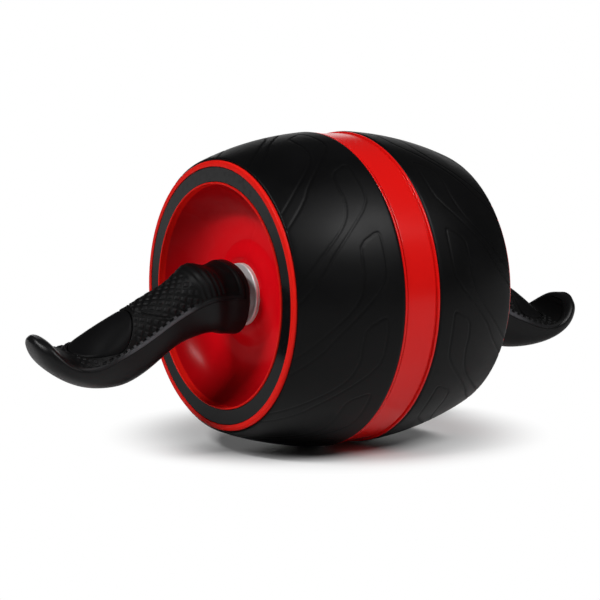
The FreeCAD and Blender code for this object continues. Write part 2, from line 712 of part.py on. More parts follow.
def make_leaf():
    """Bent leaf in the tube that pushes the button out."""
    bore = TUBE_RADIUS - TUBE_WALL
    near = button_foot() - BUTTON_PLAY
    far = bore - LEAF_WIDTH ** 2 / (8 * bore) - BUTTON_PLAY
    y = button_place().y
    turn = (near + far) / 2
    bend_y = y - LEAF_LENGTH + turn
    middle = (far - near) / 2
    tip = y + BUTTON_FLANGE_RADIUS
    inside = LEAF_THICKNESS - near
    back = far - LEAF_THICKNESS
    edges = straight([V(-near, tip, 0), V(-near, bend_y, 0)])
    edges.append(Part.Arc(V(-near, bend_y, 0), V(middle, bend_y - turn, 0), V(far, bend_y, 0)).toShape())
    edges += straight([V(far, bend_y, 0), V(far, tip, 0), V(back, tip, 0), V(back, bend_y, 0)])
    inner_turn = V(middle, bend_y - turn + LEAF_THICKNESS, 0)
    edges.append(Part.Arc(V(back, bend_y, 0), inner_turn, V(inside, bend_y, 0)).toShape())
    edges += straight([V(inside, bend_y, 0), V(inside, tip, 0), V(-near, tip, 0)])
    leaf = face_of(edges).extrude(V(0, 0, LEAF_WIDTH))
    leaf.translate(V(0, 0, -LEAF_WIDTH / 2))
    return leaf


def build():
    """Every piece of the roller by its node name."""
    pieces = {}
    tread = make_tread()
    face_ring = make_face_ring()
    bush = make_bush()
    washer = make_end_washer()
    pieces["core_left"] = add_posts(make_core(True), True)
    pieces["core_right"] = mirrored(add_posts(make_core(False), False))
    pieces["centre_band"] = make_band()
    pieces["tread_left"] = tread
    pieces["tread_right"] = mirrored(tread)
    pieces["face_ring_left"] = face_ring
    pieces["face_ring_right"] = mirrored(face_ring)
    pieces["hub_bush_left"] = bush
    pieces["hub_bush_right"] = mirrored(bush)
    pieces["spring_drum"] = make_drum()
    pieces["spring_drum_cover"] = make_drum_cover()
    pieces["return_spring"] = leaned(make_spring())
    pieces["spring_hook_pin"] = leaned(make_hook_pin())
    for number, (x, z) in enumerate(post_places(), 1):
        pieces["core_screw_%d" % number] = make_screw(x, z)
    pieces["axle_tube"] = leaned(make_tube())
    pieces["spring_arbor"] = leaned(make_arbor())
    pieces["arbor_pin"] = leaned(make_arbor_pin())
    pieces["end_washer_left"] = washer
    pieces["end_washer_right"] = mirrored(washer)
    body = handle_body()
    under = handle_body(GRIP_THICKNESS)
    bed = handle_body(GRIP_THICKNESS - BOND)
    proud = handle_body(-PAD_CROWN)
    core = make_handle_core(body, under)
    skin = body.cut(bed).common(grip_zone(GRIP_SEAM))
    grip = fitted(skin.cut(pad_prism(0.0)))
    pad = proud.cut(bed).common(pad_prism(GRIP_SEAM))
    sided = {"handle_core": core, "grip": grip, "palm_pad": pad, "snap_button": make_button(),
             "button_spring": make_leaf()}
    for name, shape in sided.items():
        pieces[name + "_left"] = leaned(shape)
        pieces[name + "_right"] = leaned(mirrored(shape))
    return pieces


os.makedirs("parts", exist_ok=True)
for name, shape in build().items():
    shape.exportStep("parts/%s.step" % name)
    print("%-20s solids %d valid %s volume %.1f" % (name, len(shape.Solids), shape.isValid(), shape.Volume))
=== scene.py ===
import json
import math

import bmesh
import bpy
import numpy as np
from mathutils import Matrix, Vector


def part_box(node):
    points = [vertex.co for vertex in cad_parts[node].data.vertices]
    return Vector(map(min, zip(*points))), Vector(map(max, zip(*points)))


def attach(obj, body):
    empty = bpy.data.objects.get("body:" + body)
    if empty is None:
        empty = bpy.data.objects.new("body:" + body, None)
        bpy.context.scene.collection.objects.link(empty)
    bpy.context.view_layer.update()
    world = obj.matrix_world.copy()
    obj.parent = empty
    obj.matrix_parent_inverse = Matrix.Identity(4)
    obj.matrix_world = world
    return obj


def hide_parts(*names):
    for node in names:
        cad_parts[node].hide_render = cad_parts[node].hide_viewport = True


bl_info = {
    "name": "Barrel roller",
    "version": (1, 0, 0),
    "blender": (4, 5, 0),
    "location": "View3D > Sidebar > Roller",
    "description": "Dresses the packed roller: treads, band, dished ends, handles and stage",
    "category": "Object",
}

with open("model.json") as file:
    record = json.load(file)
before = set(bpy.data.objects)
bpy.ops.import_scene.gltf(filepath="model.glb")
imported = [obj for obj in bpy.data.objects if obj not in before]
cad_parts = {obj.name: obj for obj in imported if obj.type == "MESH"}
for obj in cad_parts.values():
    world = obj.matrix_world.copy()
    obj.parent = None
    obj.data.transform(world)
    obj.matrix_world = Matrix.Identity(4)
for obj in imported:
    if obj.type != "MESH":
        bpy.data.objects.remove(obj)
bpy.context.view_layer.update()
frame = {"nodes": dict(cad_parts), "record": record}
FLOOR_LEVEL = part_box("tread_left")[0].z
MM = 0.001

# Sizes in millimetres. The axle lies along Y. Treads and band:
TREAD_RADIUS = 92.5
CROWN_RADIUS = 200.0
TREAD_START = 12.3
TREAD_END = 75.0
SHOULDER = 73.6
SHOULDER_LIFT = 0.5
SHOULDER_ROUND = 3.4
INNER_EDGE_DROP = 0.5
INNER_EDGE_WIDTH = 1.2
TREAD_SEAT = 77.5
TREAD_STEP = 70.1
TREAD_THICKNESS = 6.0
TREAD_SEAT_GAP = 0.15
TREAD_LIP = 78.6
BAND_EDGE = 12.2
BAND_BEAD = 92.2
BAND_FACE = 91.3
BAND_VALLEY = 90.7
BAND_FOOT = 86.1
BEAD_WIDTH = 1.3

# Dished ends and inlay rings
RIM_FACE = 77.0
RIM_RADIUS = 77.4
RIM_STEP = 70.2
LIP_FACE = 77.4
LIP_START = 70.0
HUB_BORE = 16.05
HUB_BACK = 40.0
HUB_STEP = 58.3
HUB_RECESS = 18.1
HUB_FACE = 60.0
DISH_FLOOR = 55.8
DISH_VALLEY = 36.5
DISH_RADIUS = 64.0
DISH_CURVE = 29.75
BOSS_RADIUS = 29.0
SCREW_CIRCLE = 46.0
SCREW_BORE = 4.8
SCREW_BORE_DEPTH = 14.0
SCREW_BORE_ZONE = (54.8, 66.0)
RING_INNER = 65.2
RING_OUTER = 73.8
RING_BACK = 75.4
RING_FRONT = 76.6
RING_PLAY = 0.1

# Axle and washers
TUBE_RADIUS = 12.7
TUBE_BORE = 10.7
TUBE_END = 93.0
WASHER_BORE = 12.75
WASHER_RADIUS = 18.1
WASHER_BACK = 60.3
WASHER_FRONT = 62.3

# Handles, with their grips and palm pads
HANDLE_LEAN = math.radians(12.0)
HANDLE_START = 69.4
SECTION_POWER = 2.4
COLLAR_ROUND = 0.8
TIP_LENGTH = 4.2
SOCKET_RADIUS = 12.85
SOCKET_DEPTH = 24.1
GRIP_THICKNESS = 2.4
GRIP_START = 2.6
GRIP_SEAM = 0.3
GRIP_SINK = 0.35
SEAM_RISE = 2.0
SEAM_RISE_AT_COLLAR = 2.6
SEAM_END_GAP = 1.05
BED_GAP = 0.1
BED_STEP = 0.08
PAD_CENTRE = 78.6
PAD_HALF_LENGTH = 23.4
PAD_HALF_WIDTH = 16.8
PAD_BED = 1.9
PAD_BACK = -1.75
PAD_ROLL = 0.5
THINNEST = 0.4

# Snap buttons and the finger recesses round them
BUTTON_PLACE = 85.0
BUTTON_RADIUS = 3.9
BUTTON_PLAY = 0.35
BUTTON_TOP = 17.0
BUTTON_FLANGE = 5.4
BUTTON_FLANGE_FACE = 9.0
BUTTON_BACK = 7.6
RECESS_FLOOR = 15.7
RECESS_FLAT = 6.0
RECESS_RADIUS = 11.5
RECESS_SLOPE = 1.7
RECESS_HOLE = 12.9
POLE = 0.02

# Handle sections: out from the collar, drop, half width, height above, depth below
SECTIONS = np.array([
    (0.0, 0.0, 23.2, 19.8, 21.4),
    (7.4, 0.0, 21.6, 19.0, 20.9),
    (13.0, 0.5, 20.4, 18.2, 20.2),
    (18.5, 1.2, 19.8, 21.3, 19.2),
    (24.5, 4.0, 17.3, 20.7, 17.5),
    (42.2, 12.2, 15.2, 17.9, 15.2),
    (63.0, 23.6, 15.6, 18.0, 18.7),
    (78.5, 29.8, 18.1, 14.8, 18.0),
    (95.0, 33.6, 19.9, 9.2, 11.0),
    (109.5, 29.0, 19.3, 4.8, 8.0),
    (117.0, 22.9, 15.6, 4.5, 6.8),
    (121.8, 18.8, 9.6, 3.8, 3.9),
    (123.5, 17.0, 5.2, 2.0, 2.4),
])
KNOTS = np.concatenate([[0.0], np.cumsum(np.hypot(*np.diff(SECTIONS[:, :2], axis=0).T))])

# Relief of the grip. A pair is a smooth step from the first distance to the second; two pairs are a
# rise and a fall. A span runs out from the collar, and an edge runs in from the grip's edge.
RIB_PITCH, RIB_SHIFT = 3.5, 1.07
RIB_SPAN = (3.6, 4.6), (12.4, 11.4)
RIB_HALF_LENGTH = (9.0, 7.0)
BAR_PITCH = 2.33
BAR_SPAN = (12.4, 13.4), (24.2, 23.0)
BAR_EDGE = (3.0, 4.5)
RIDGE = (4.0, 10.0)
NUB_SPAN = (24.0, 25.5), (105.0, 101.0)
NUB_EDGE = (2.3, 2.7)
PAD_CLEARANCE = (1.05, 1.08)
PAD_BED_EDGE = (1.015, 0.998)
BEAD_HALF_WIDTH, BEAD_HEIGHT = 1.3, 0.5
BEAD_RISE, BEAD_FADE = (12.0, 26.0), (108.0, 92.0)
BORDER_EDGE, BORDER_DEPTH = (2.5, 3.1), 0.3
DASH_PITCH = 4.8
DASH_SPAN = (26.0, 29.0), (92.0, 84.0)
DASH_EDGE = (2.2, 2.6), (3.9, 3.5)
TOOTH_HEIGHT, NOTCH_DEPTH = 0.45, 0.4
# Span along the handle where the edge bead and teeth take their full painted highlight
EDGE_HIGHLIGHT_SPAN = (26.0, 34.0), (82.0, 64.0)
LINE_PLACE, LINE_BEND, LINE_DEPTH = 59.5, 0.038, 0.45
LINE_WIDTH = (0.75, 0.3)
LINE_REACH = (20.0, 18.5)

# Hidden back of a core half, from its lapped tongue in to the hub: radius, distance out
CORE_BACK = np.array([
    (86.0, 12.2), (86.0, 0.05), (83.0, 0.05), (83.0, 12.2), (80.0, 40.0), (72.0, 66.0), (71.0, 72.0),
    (66.4, 72.0), (60.0, 62.0), (50.0, 54.5), (36.5, 52.8), (22.0, 52.8), (22.0, 40.0),
])

# Corners of one hooked groove: degrees round the wheel, distance out from the middle
GROOVE_PATH = np.array([
    (7.8, 76.0), (20.0, 58.3), (28.8, 44.5), (33.8, 39.5), (40.0, 37.0), (45.6, 37.6), (51.9, 36.4),
    (56.0, 24.5), (53.8, 23.0), (42.5, 23.0), (36.9, 25.1), (25.0, 43.9), (18.1, 53.9), (12.5, 59.5),
    (0.7, 76.0),
])
GROOVE_REPEATS = 12


def size_property(name, description, default, least=0.0):
    """A length that a user may change, given in millimetres."""
    return bpy.props.FloatProperty(name=name, description=description, default=default * MM,
                                   min=least * MM, unit="LENGTH")


def colour_property(name, description, default):
    """A colour that a user may change."""
    return bpy.props.FloatVectorProperty(name=name, description=description, default=default,
                                         subtype="COLOR", size=3, min=0.0, max=1.0)


class RollerSizes(bpy.types.PropertyGroup):
    """Sizes of the surface detail that a user may change."""

    groove_width: size_property("Groove width", "Width of the tread's line grooves", 0.85)
    groove_depth: size_property("Groove depth", "Depth of the tread's line grooves", 0.3)
    nub_pitch: size_property("Nub pitch", "Distance between the square nubs of the grips", 4.0, least=1.0)
    nub_height: size_property("Nub height", "Height of the square nubs of the grips", 0.45)
    pad_crown: size_property("Pad crown", "Rise of the palm pad's middle over the grip", 0.5)


class RollerColours(bpy.types.PropertyGroup):
    """Colours of the finishes."""

    rubber: colour_property("Rubber", "Treads and grips", (0.0024, 0.0024, 0.0026))
    red: colour_property("Red", "Dished ends and centre band", (0.72, 0.0030, 0.0080))
    gloss: colour_property("Gloss black", "Face rings and handle hulls", (0.0040, 0.0040, 0.0043))
    steel: colour_property("Steel", "Axle tube and buttons", (0.72, 0.72, 0.73))
    floor: colour_property("Floor", "Floor under the roller", (0.85, 0.85, 0.85))


class Socket:
    """A node's output. Arithmetic on it adds Math nodes."""

    def __init__(self, paint, output):
        self.paint = paint
        self.output = output

    def maths(self, operation, first, second):
        return self.paint.node("ShaderNodeMath", {"operation": operation}, {0: first, 1: second})

    def __add__(self, other):
        return self.maths("ADD", self, other)

    __radd__ = __add__

    def __sub__(self, other):
        return self.maths("SUBTRACT", self, other)

    def __rsub__(self, other):
        return self.maths("SUBTRACT", other, self)

    def __mul__(self, other):
        return self.maths("MULTIPLY", self, other)

    __rmul__ = __mul__


class Paint:
    """One procedural finish: a material whose nodes are added by type, settings and sockets."""

    def __init__(self, owner, shader="Principled BSDF"):
        owner.use_nodes = True
        self.material = owner
        self.tree = owner.node_tree
        self.shader = self.tree.nodes[shader]
        self.place = self.node("ShaderNodeTexCoord", output="Object")

    def node(self, kind, settings=None, sockets=None, output=0):
        """Adds a node of a type with its settings and the values or links of its sockets."""
        made = self.tree.nodes.new(kind)
        for name, value in (settings or {}).items():
            setattr(made, name, value)
        for key, value in (sockets or {}).items():
            self.join(made.inputs[key], value)
        return Socket(self, made.outputs[output])

    def join(self, target, value):
        """Links a socket to a target, or sets the target's own value."""
        if isinstance(value, Socket):
            self.tree.links.new(value.output, target)
        else:
            target.default_value = value

    def set(self, **sockets):
        """Values or links of the shader's sockets, with _ for a space in a socket's name."""
        for name, value in sockets.items():
            self.join(self.shader.inputs[name.replace("_", " ")], value)

    def noise(self, scale, detail=2.0, place=None):
        """Soft noise about 0.5, with so many blotches to the metre."""
        return self.node("ShaderNodeTexNoise", None,
                         {"Vector": place or self.place, "Scale": scale, "Detail": detail})

    def stretched(self, scale):
        """Object coordinates scaled differently along each axis."""
        return self.node("ShaderNodeMapping", None, {"Vector": self.place, "Scale": scale})

    def ramp(self, value, low, high, start=0.0, end=1.0):
        """Value moved smoothly from one range to another and held inside it."""
        return self.node("ShaderNodeMapRange", {"interpolation_type": "SMOOTHSTEP"},
                         {0: value, 1: low, 2: high, 3: start, 4: end})

    def blend(self, factor, first, second):
        """Colour between two colours."""
        return self.node("ShaderNodeMix", {"data_type": "RGBA"},
                         {"Factor": factor, 6: first, 7: second}, output=2)

    def bump(self, height, distance, strength=1.0):
        """Surface relief from a height."""
        return self.node("ShaderNodeBump", None,
                         {"Height": height, "Distance": distance, "Strength": strength})

    def distance(self, scale, shift=(0.0, 0.0, 0.0)):
        """Length of the object coordinates after each axis is scaled and shifted."""
        moved = self.node("ShaderNodeVectorMath", {"operation": "MULTIPLY_ADD"},
                          {0: self.place, 1: scale, 2: shift})
        return self.node("ShaderNodeVectorMath", {"operation": "LENGTH"}, {0: moved}, output="Value")

    def attribute(self, name):
        """A value that the mesh carries at its points."""
        return self.node("ShaderNodeAttribute", {"attribute_name": name}, output="Fac")


def tint(colour, factor):
    """A colour made lighter or darker, with its alpha."""
    return (*[min(c * factor, 1.0) for c in colour], 1.0)


def rubber_finish(name, colour):
    """Satin moulded rubber: fine grain, faint cloudy bloom and painted shade that darkens the grooves a
    little.
    """
    paint = Paint(bpy.data.materials.new(name))
    grain = paint.noise(2600.0, 3.0)
    cloud = paint.noise(26.0, 3.0)
    groove = paint.attribute("groove")
    bloom = paint.ramp(cloud, 0.35, 0.7)
    base = paint.blend(bloom, tint(colour, 0.86), tint(colour, 1.2))
    # Painted shade: the grooves are darkened to 0.8 of the rubber's colour.
    base = paint.blend(groove, base, tint(colour, 0.8))
    rough = paint.ramp(cloud, 0.3, 0.7, 0.34, 0.42) + grain * 0.04
    paint.set(Base_Color=base, Roughness=rough, Normal=paint.bump(grain, 0.00006, 0.5))
    paint.set(Specular_IOR_Level=0.10)
    return paint.material


def grip_finish(name, colour):
    """Softer handle rubber with painted light and shade, paler on its nub tops and darker between them, and
    a painted highlight, palest and smoothest, along its edge bead and teeth.
    """
    paint = Paint(bpy.data.materials.new(name))
    grain = paint.noise(3200.0, 2.0)
    cloud = paint.noise(60.0, 3.0)
    raised = paint.attribute("raised")
    bead = paint.attribute("bead")
    # Painted light and shade: nub tops twice as pale as the rubber, the gaps between them half as dark.
    base = paint.blend(raised, tint(colour, 0.5), tint(colour, 2.0))
    # Painted highlight: up to thirty times paler along the edge bead and its teeth.
    base = paint.blend(bead, base, tint(colour, 30.0))
    rough = paint.ramp(cloud, 0.3, 0.7, 0.50, 0.58) - bead * 0.14
    paint.set(Base_Color=base, Roughness=rough, Normal=paint.bump(grain, 0.00005, 0.5))
    paint.set(Specular_IOR_Level=0.13)
    return paint.material


def pad_finish(name, colour):
    """Smooth skin of the palm pad."""
    paint = Paint(bpy.data.materials.new(name))
    grain = paint.noise(1800.0, 4.0)
    cloud = paint.noise(70.0, 2.0)
    base = paint.blend(cloud, tint(colour, 0.9), tint(colour, 1.3))
    rough = paint.ramp(cloud, 0.3, 0.7, 0.50, 0.58)
    paint.set(Base_Color=base, Roughness=rough, Normal=paint.bump(grain, 0.00004, 0.35))
    paint.set(Specular_IOR_Level=0.07)
    return paint.material


def red_finish(name, colour, smooth, level, warmth):
    """Moulded red plastic: fine spark texture, a faint flow of the colour, painted shade that deepens the
    red up the dish's wall, and a warmer red from the dish's edge outwards."""
    paint = Paint(bpy.data.materials.new(name))
    flow = paint.noise(14.0, 3.0)
    speck = paint.noise(1900.0, 2.0)
    wall_foot, wall_top, edge_start, edge = 0.036, 0.060, 0.0634, 0.0640
    radius = paint.distance((1.0, 0.0, 1.0))
    # Mask of the painted shade up the dish's wall: it rises from the wall's foot to its top and ends at the
    # dish's edge.
    wall = paint.ramp(radius, wall_foot, wall_top) * paint.ramp(radius, edge, edge_start)
    warm = tint((colour[0], colour[1] + warmth, colour[2]), 0.98)
    base = paint.blend(flow, tint(colour, 0.9), tint(colour, 1.08))
    # Painted shade: the wall's red is taken half way towards near black.
    base = paint.blend(wall * 0.5, base, tint(colour, 0.04))
    base = paint.blend(paint.ramp(radius, edge_start, edge), base, warm)
    rough = paint.ramp(flow, 0.3, 0.7, smooth - 0.03, smooth + 0.04)
    paint.set(Base_Color=base, Roughness=rough, Normal=paint.bump(speck, 0.00003, 0.35))
    paint.set(Specular_IOR_Level=level)
    return paint.material


def gloss_finish(name, colour, low, high, level):
    """Polished black moulding with fine handling scuffs."""
    paint = Paint(bpy.data.materials.new(name))
    scuff = paint.noise(420.0, 5.0, paint.stretched((1.0, 6.0, 0.7)))
    cloud = paint.noise(40.0, 2.0)
    base = paint.blend(cloud, tint(colour, 0.85), tint(colour, 1.25))
    rough = paint.ramp(scuff, 0.45, 0.75, low, high)
    paint.set(Base_Color=base, Roughness=rough)
    paint.set(Normal=paint.bump(paint.noise(1500.0, 2.0), 0.00003, 0.3), Specular_IOR_Level=level)
    return paint.material


def steel_finish(name, colour, stretch, low, high, metal=1.0):
    """Bright metal with fine turning or drawing lines that vary its roughness."""
    paint = Paint(bpy.data.materials.new(name))
    lines = paint.noise(900.0, 4.0, paint.stretched(stretch))
    cloud = paint.noise(90.0, 2.0)
    base = paint.blend(cloud, tint(colour, 0.9), tint(colour, 1.05))
    rough = paint.ramp(lines, 0.3, 0.7, low, high)
    paint.set(Base_Color=base, Roughness=rough, Metallic=metal)
    paint.set(Normal=paint.bump(lines, 0.00002, 0.4))
    return paint.material


def bush_finish(name):
    """Natural bearing plastic with machining lines."""
    paint = Paint(bpy.data.materials.new(name))
    lines = paint.noise(700.0, 3.0, paint.stretched((1.0, 8.0, 1.0)))
    base = paint.blend(lines, (0.68, 0.68, 0.64, 1.0), (0.80, 0.80, 0.77, 1.0))
    paint.set(Base_Color=base, Roughness=paint.ramp(lines, 0.3, 0.7, 0.35, 0.5))
    return paint.material


FINISHES = {}


def finish(slot):
    """The material of one of the record's finishes, made when it is first asked for."""
    if slot not in FINISHES:
        colours = bpy.context.scene.roller_colours
        rubber, red, gloss, steel = colours.rubber, colours.red, colours.gloss, colours.steel
        deep_red = (0.9 * red[0], red[1], 0.6 * red[2])
        drawn, turned, pressed, rolled = (1.0, 0.05, 1.0), (1.0, 9.0, 1.0), (1.0, 1.0, 1.0), (0.2, 3.0, 0.2)
        # After the colour: roughness, shine and warmth of a red; least and most roughness and shine of a
        # black; stretch of the lines, least and most roughness and metal of a steel.
        makers = {
            "tread_rubber": (rubber_finish, rubber),
            "grip_rubber": (grip_finish, rubber),
            "pad_rubber": (pad_finish, rubber),
            "red_plastic": (red_finish, red, 0.26, 0.045, 0.009),
            "band_plastic": (red_finish, deep_red, 0.20, 0.2, 0.003),
            "ring_gloss": (gloss_finish, gloss, 0.12, 0.22, 0.14),
            "hull_plastic": (gloss_finish, gloss, 0.36, 0.46, 0.18),
            "tube_steel": (steel_finish, steel, drawn, 0.14, 0.26),
            "washer_steel": (steel_finish, (0.9, 0.9, 0.9), turned, 0.42, 0.55, 0.5),
            "pressed_steel": (steel_finish, (0.45, 0.45, 0.46), pressed, 0.3, 0.5),
            "spring_steel": (steel_finish, (0.22, 0.24, 0.29), rolled, 0.25, 0.4),
            "bush_plastic": (bush_finish,),
        }
        maker, *options = makers[slot]
        FINISHES[slot] = maker(slot, *options)
    return FINISHES[slot]


def grid_mesh(name, points, wrap):
    """Mesh of a grid of points, closed across each row. The rows close into a ring if wrap is set,
    and otherwise the first and last rows are closed by a flat face."""
    rows, across = points.shape[:2]
    row = np.arange(rows if wrap else rows - 1)[:, None]
    column = np.arange(across)[None, :]
    after = (row + 1) % rows
    beside = (column + 1) % across
    corners = [row * across + column, row * across + beside,
               after * across + beside, after * across + column]
    quads = np.stack(np.broadcast_arrays(*corners), axis=-1).reshape(-1, 4)
    caps = [] if wrap else [np.arange(across)[::-1], (rows - 1) * across + np.arange(across)]
    loops = np.concatenate([quads.ravel(), *caps])
    starts = np.concatenate([np.arange(len(quads)) * 4, len(quads) * 4 + np.arange(len(caps)) * across])
    mesh = bpy.data.meshes.new(name)
    mesh.vertices.add(rows * across)
    mesh.vertices.foreach_set("co", (points * MM).ravel())
    mesh.loops.add(len(loops))
    mesh.loops.foreach_set("vertex_index", loops)
    mesh.polygons.add(len(starts))
    mesh.polygons.foreach_set("loop_start", starts)
    mesh.update(calc_edges=True)
    mesh.validate()
    return mesh


def outward(mesh):
    """Turns every face of a closed mesh outwards and shades it smooth."""
    work = bmesh.new()
    work.from_mesh(mesh)
    bmesh.ops.recalc_face_normals(work, faces=work.faces)
    work.to_mesh(mesh)
    work.free()
    mesh.polygons.foreach_set("use_smooth", np.ones(len(mesh.polygons), bool))
    mesh.update()


def place_piece(name, points, body, nodes, slot, wrap=False, sharp=None, values=None):
    """Adds one closed surface to the scene in place of its CAD nodes, riding on their body.
    values are numbers that the finish reads at each point."""
    mesh = grid_mesh(name, points, wrap)
    for key, value in (values or {}).items():
        layer = mesh.attributes.new(key, "FLOAT", "POINT")
        layer.data.foreach_set("value", np.ascontiguousarray(value, np.float32).ravel())
    outward(mesh)
    if sharp:
        mesh.set_sharp_from_angle(angle=math.radians(sharp))
    piece = bpy.data.objects.new(name, mesh)
    bpy.context.scene.collection.objects.link(piece)
    mesh.materials.append(finish(slot))
    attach(piece, body)
    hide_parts(*nodes)


SIDES = (("left", 1.0), ("right", -1.0))


def for_side(points, side):
    """The same surface for the other end of the axle: y changes its sign."""
    return points * np.array([1.0, side, 1.0])


def place_pair(piece, points, body, node, slot, **options):
    """Adds the same surface at both ends of the axle."""
    for name, side in SIDES:
        place_piece(piece + name, for_side(points, side), body, [node + name], slot, **options)


def ease(value, low, high):
    """Smooth step from 0 at low to 1 at high."""
    share = np.clip((value - low) / (high - low), 0.0, 1.0)
    return share * share * (3.0 - 2.0 * share)


def between(value, rise, fall):
    """1 between a rising and a falling smooth step, and 0 outside them."""
    return ease(value, *rise) * ease(value, *fall)


def cell(value, pitch, shift=0.0):
    """Distance from the middle of a repeating cell as a share of its pitch."""
    return np.abs(np.mod(value / pitch - shift, 1.0) - 0.5)


def spline(at, columns=slice(None)):
    """Handle sections at distances along the middle line: a natural cubic through the table, whose
    second derivatives solve one small linear system."""
    values = SECTIONS[:, columns]
    step = np.diff(KNOTS)
    count = len(KNOTS)
    inner = np.arange(1, count - 1)
    system = np.eye(count)
    system[inner, inner - 1] = step[:-1]
    system[inner, inner] = 2.0 * (step[:-1] + step[1:])
    system[inner, inner + 1] = step[1:]
    right = np.zeros_like(values)
    right[1:-1] = 6.0 * np.diff(np.diff(values, axis=0) / step[:, None], axis=0)
    second = np.linalg.solve(system, right)
    span = np.clip(np.searchsorted(KNOTS, at) - 1, 0, count - 2)
    width = step[span][:, None]
    low = ((KNOTS[span + 1] - at)[:, None]) / width
    high = 1.0 - low
    bend = ((low ** 3 - low) * second[span] + (high ** 3 - high) * second[span + 1]) * width ** 2 / 6.0
    return low * values[span] + high * values[span + 1] + bend


def rounded(corners, radii, steps=5, guard=0.12):
    """Closed outline of straight runs whose corners are quadratic curves: each corner is the middle
    control point, and the curve's ends lie a fillet's length along its two runs. A guard point past
    each end keeps the runs flat."""
    corners = np.asarray(corners, float)
    back = np.roll(corners, 1, axis=0) - corners
    ahead = np.roll(corners, -1, axis=0) - corners
    back /= np.linalg.norm(back, axis=1, keepdims=True)
    ahead /= np.linalg.norm(ahead, axis=1, keepdims=True)
    reach = np.asarray(radii, float)[:, None, None]
    share = np.linspace(0.0, 1.0, steps + 1)[None, :, None]
    first = corners[:, None] + back[:, None] * reach
    last = corners[:, None] + ahead[:, None] * reach
    curve = (1 - share) ** 2 * first + 2 * share * (1 - share) * corners[:, None] + share ** 2 * last
    before = first + back[:, None] * guard
    after = last + ahead[:, None] * guard
    return np.concatenate([before, curve, after], axis=1).reshape(-1, 2)


def spun(outline, steps):
    """Surface of revolution: each (radius, y) of a closed outline carried round the axle."""
    angle = np.linspace(0.0, 2.0 * np.pi, steps, endpoint=False)[:, None]
    radius, y = np.asarray(outline, float).T
    around = [radius * np.cos(angle), np.broadcast_to(y, (steps, len(y))), radius * np.sin(angle)]
    return np.stack(around, axis=-1)


def leaned(points):
    """Points turned with the handles about the axle."""
    x, y, z = np.moveaxis(points, -1, 0)
    turn, rise = math.cos(HANDLE_LEAN), math.sin(HANDLE_LEAN)
    return np.stack([x * turn + z * rise, y, z * turn - x * rise], axis=-1)


def tread_radius(y):
    """Crown of the tread: a wide circle, lifted with the square of y towards the shoulder."""
    middle = TREAD_RADIUS - math.sqrt(CROWN_RADIUS ** 2 - BAND_EDGE ** 2)
    return middle + np.sqrt(CROWN_RADIUS ** 2 - y ** 2) + SHOULDER_LIFT * (y / SHOULDER) ** 2


def groove_distance(degrees, y):
    """Distance in millimetres from each point of the tread to the nearest line groove. The outline's
    corners are cut once to round them, and the distance to each of its runs is a clamped projection."""
    path = GROOVE_PATH
    near, far = 0.78, 0.22
    cut = np.stack([near * path[:-1] + far * path[1:], far * path[:-1] + near * path[1:]], axis=1)
    path = np.concatenate([path[:1], cut.reshape(-1, 2), path[-1:]])
    period = 360.0 / GROOVE_REPEATS
    starts = np.concatenate([path[:-1] + (shift, 0.0) for shift in (-period, 0.0, period)])
    ends = np.concatenate([path[1:] + (shift, 0.0) for shift in (-period, 0.0, period)])
    scale = np.stack([np.radians(tread_radius(y)), np.ones_like(y)], axis=-1)[..., None, :]
    point = np.stack([degrees, y], axis=-1)[..., None, :] * scale
    first, last = starts * scale, ends * scale
    run = last - first
    share = np.clip(((point - first) * run).sum(-1) / (run * run).sum(-1), 0.0, 1.0)
    return np.linalg.norm(point - first - share[..., None] * run, axis=-1).min(-1)


class ROLLER_OT_treads(bpy.types.Operator):
    """Rubber sleeves: a crowned profile carried round the axle, sunk along the line grooves"""

    bl_idname = "roller.treads"
    bl_label = "Treads"

    def execute(self, context):
        sizes = context.scene.roller_sizes
        half, depth = sizes.groove_width / MM / 2, sizes.groove_depth / MM
        per_repeat = 80
        y = np.linspace(TREAD_START, TREAD_END, 92)
        degrees = np.arange(per_repeat) * 360.0 / GROOVE_REPEATS / per_repeat
        sheet = np.broadcast_arrays(degrees[:, None], y[None, :])
        bottom, brink = half - 0.3, half + 0.35
        sunk = 1.0 - ease(groove_distance(*sheet), bottom, brink)
        sunk = np.tile(sunk, (GROOVE_REPEATS, 1))
        start_round = INNER_EDGE_DROP * (1.0 - ease(y, TREAD_START, TREAD_START + INNER_EDGE_WIDTH))
        rolled = np.clip(1.0 - (TREAD_END - y) / SHOULDER_ROUND, 0.0, 1.0)
        end_round = (tread_radius(TREAD_END) - TREAD_LIP) * (1.0 - np.sqrt(1.0 - rolled ** 2))
        skin = tread_radius(y) - start_round - end_round
        inner_y = np.array([TREAD_END, TREAD_STEP, TREAD_STEP, 50.0, 30.0, TREAD_START])
        inner_r = tread_radius(inner_y) - TREAD_THICKNESS
        inner_r[:2] = TREAD_SEAT
        radius = np.concatenate([skin, inner_r])
        station = np.concatenate([y, inner_y])
        points = spun(np.stack([radius, station], axis=-1), len(sunk))
        lowered = np.zeros(points.shape[:2])
        lowered[:, :len(y)] = sunk
        points[..., (0, 2)] *= (1.0 - depth * lowered / radius)[..., None]
        place_pair("tread_sleeve_", points, "wheel", "tread_", "tread_rubber",
                   wrap=True, values={"groove": lowered})
        return {"FINISHED"}


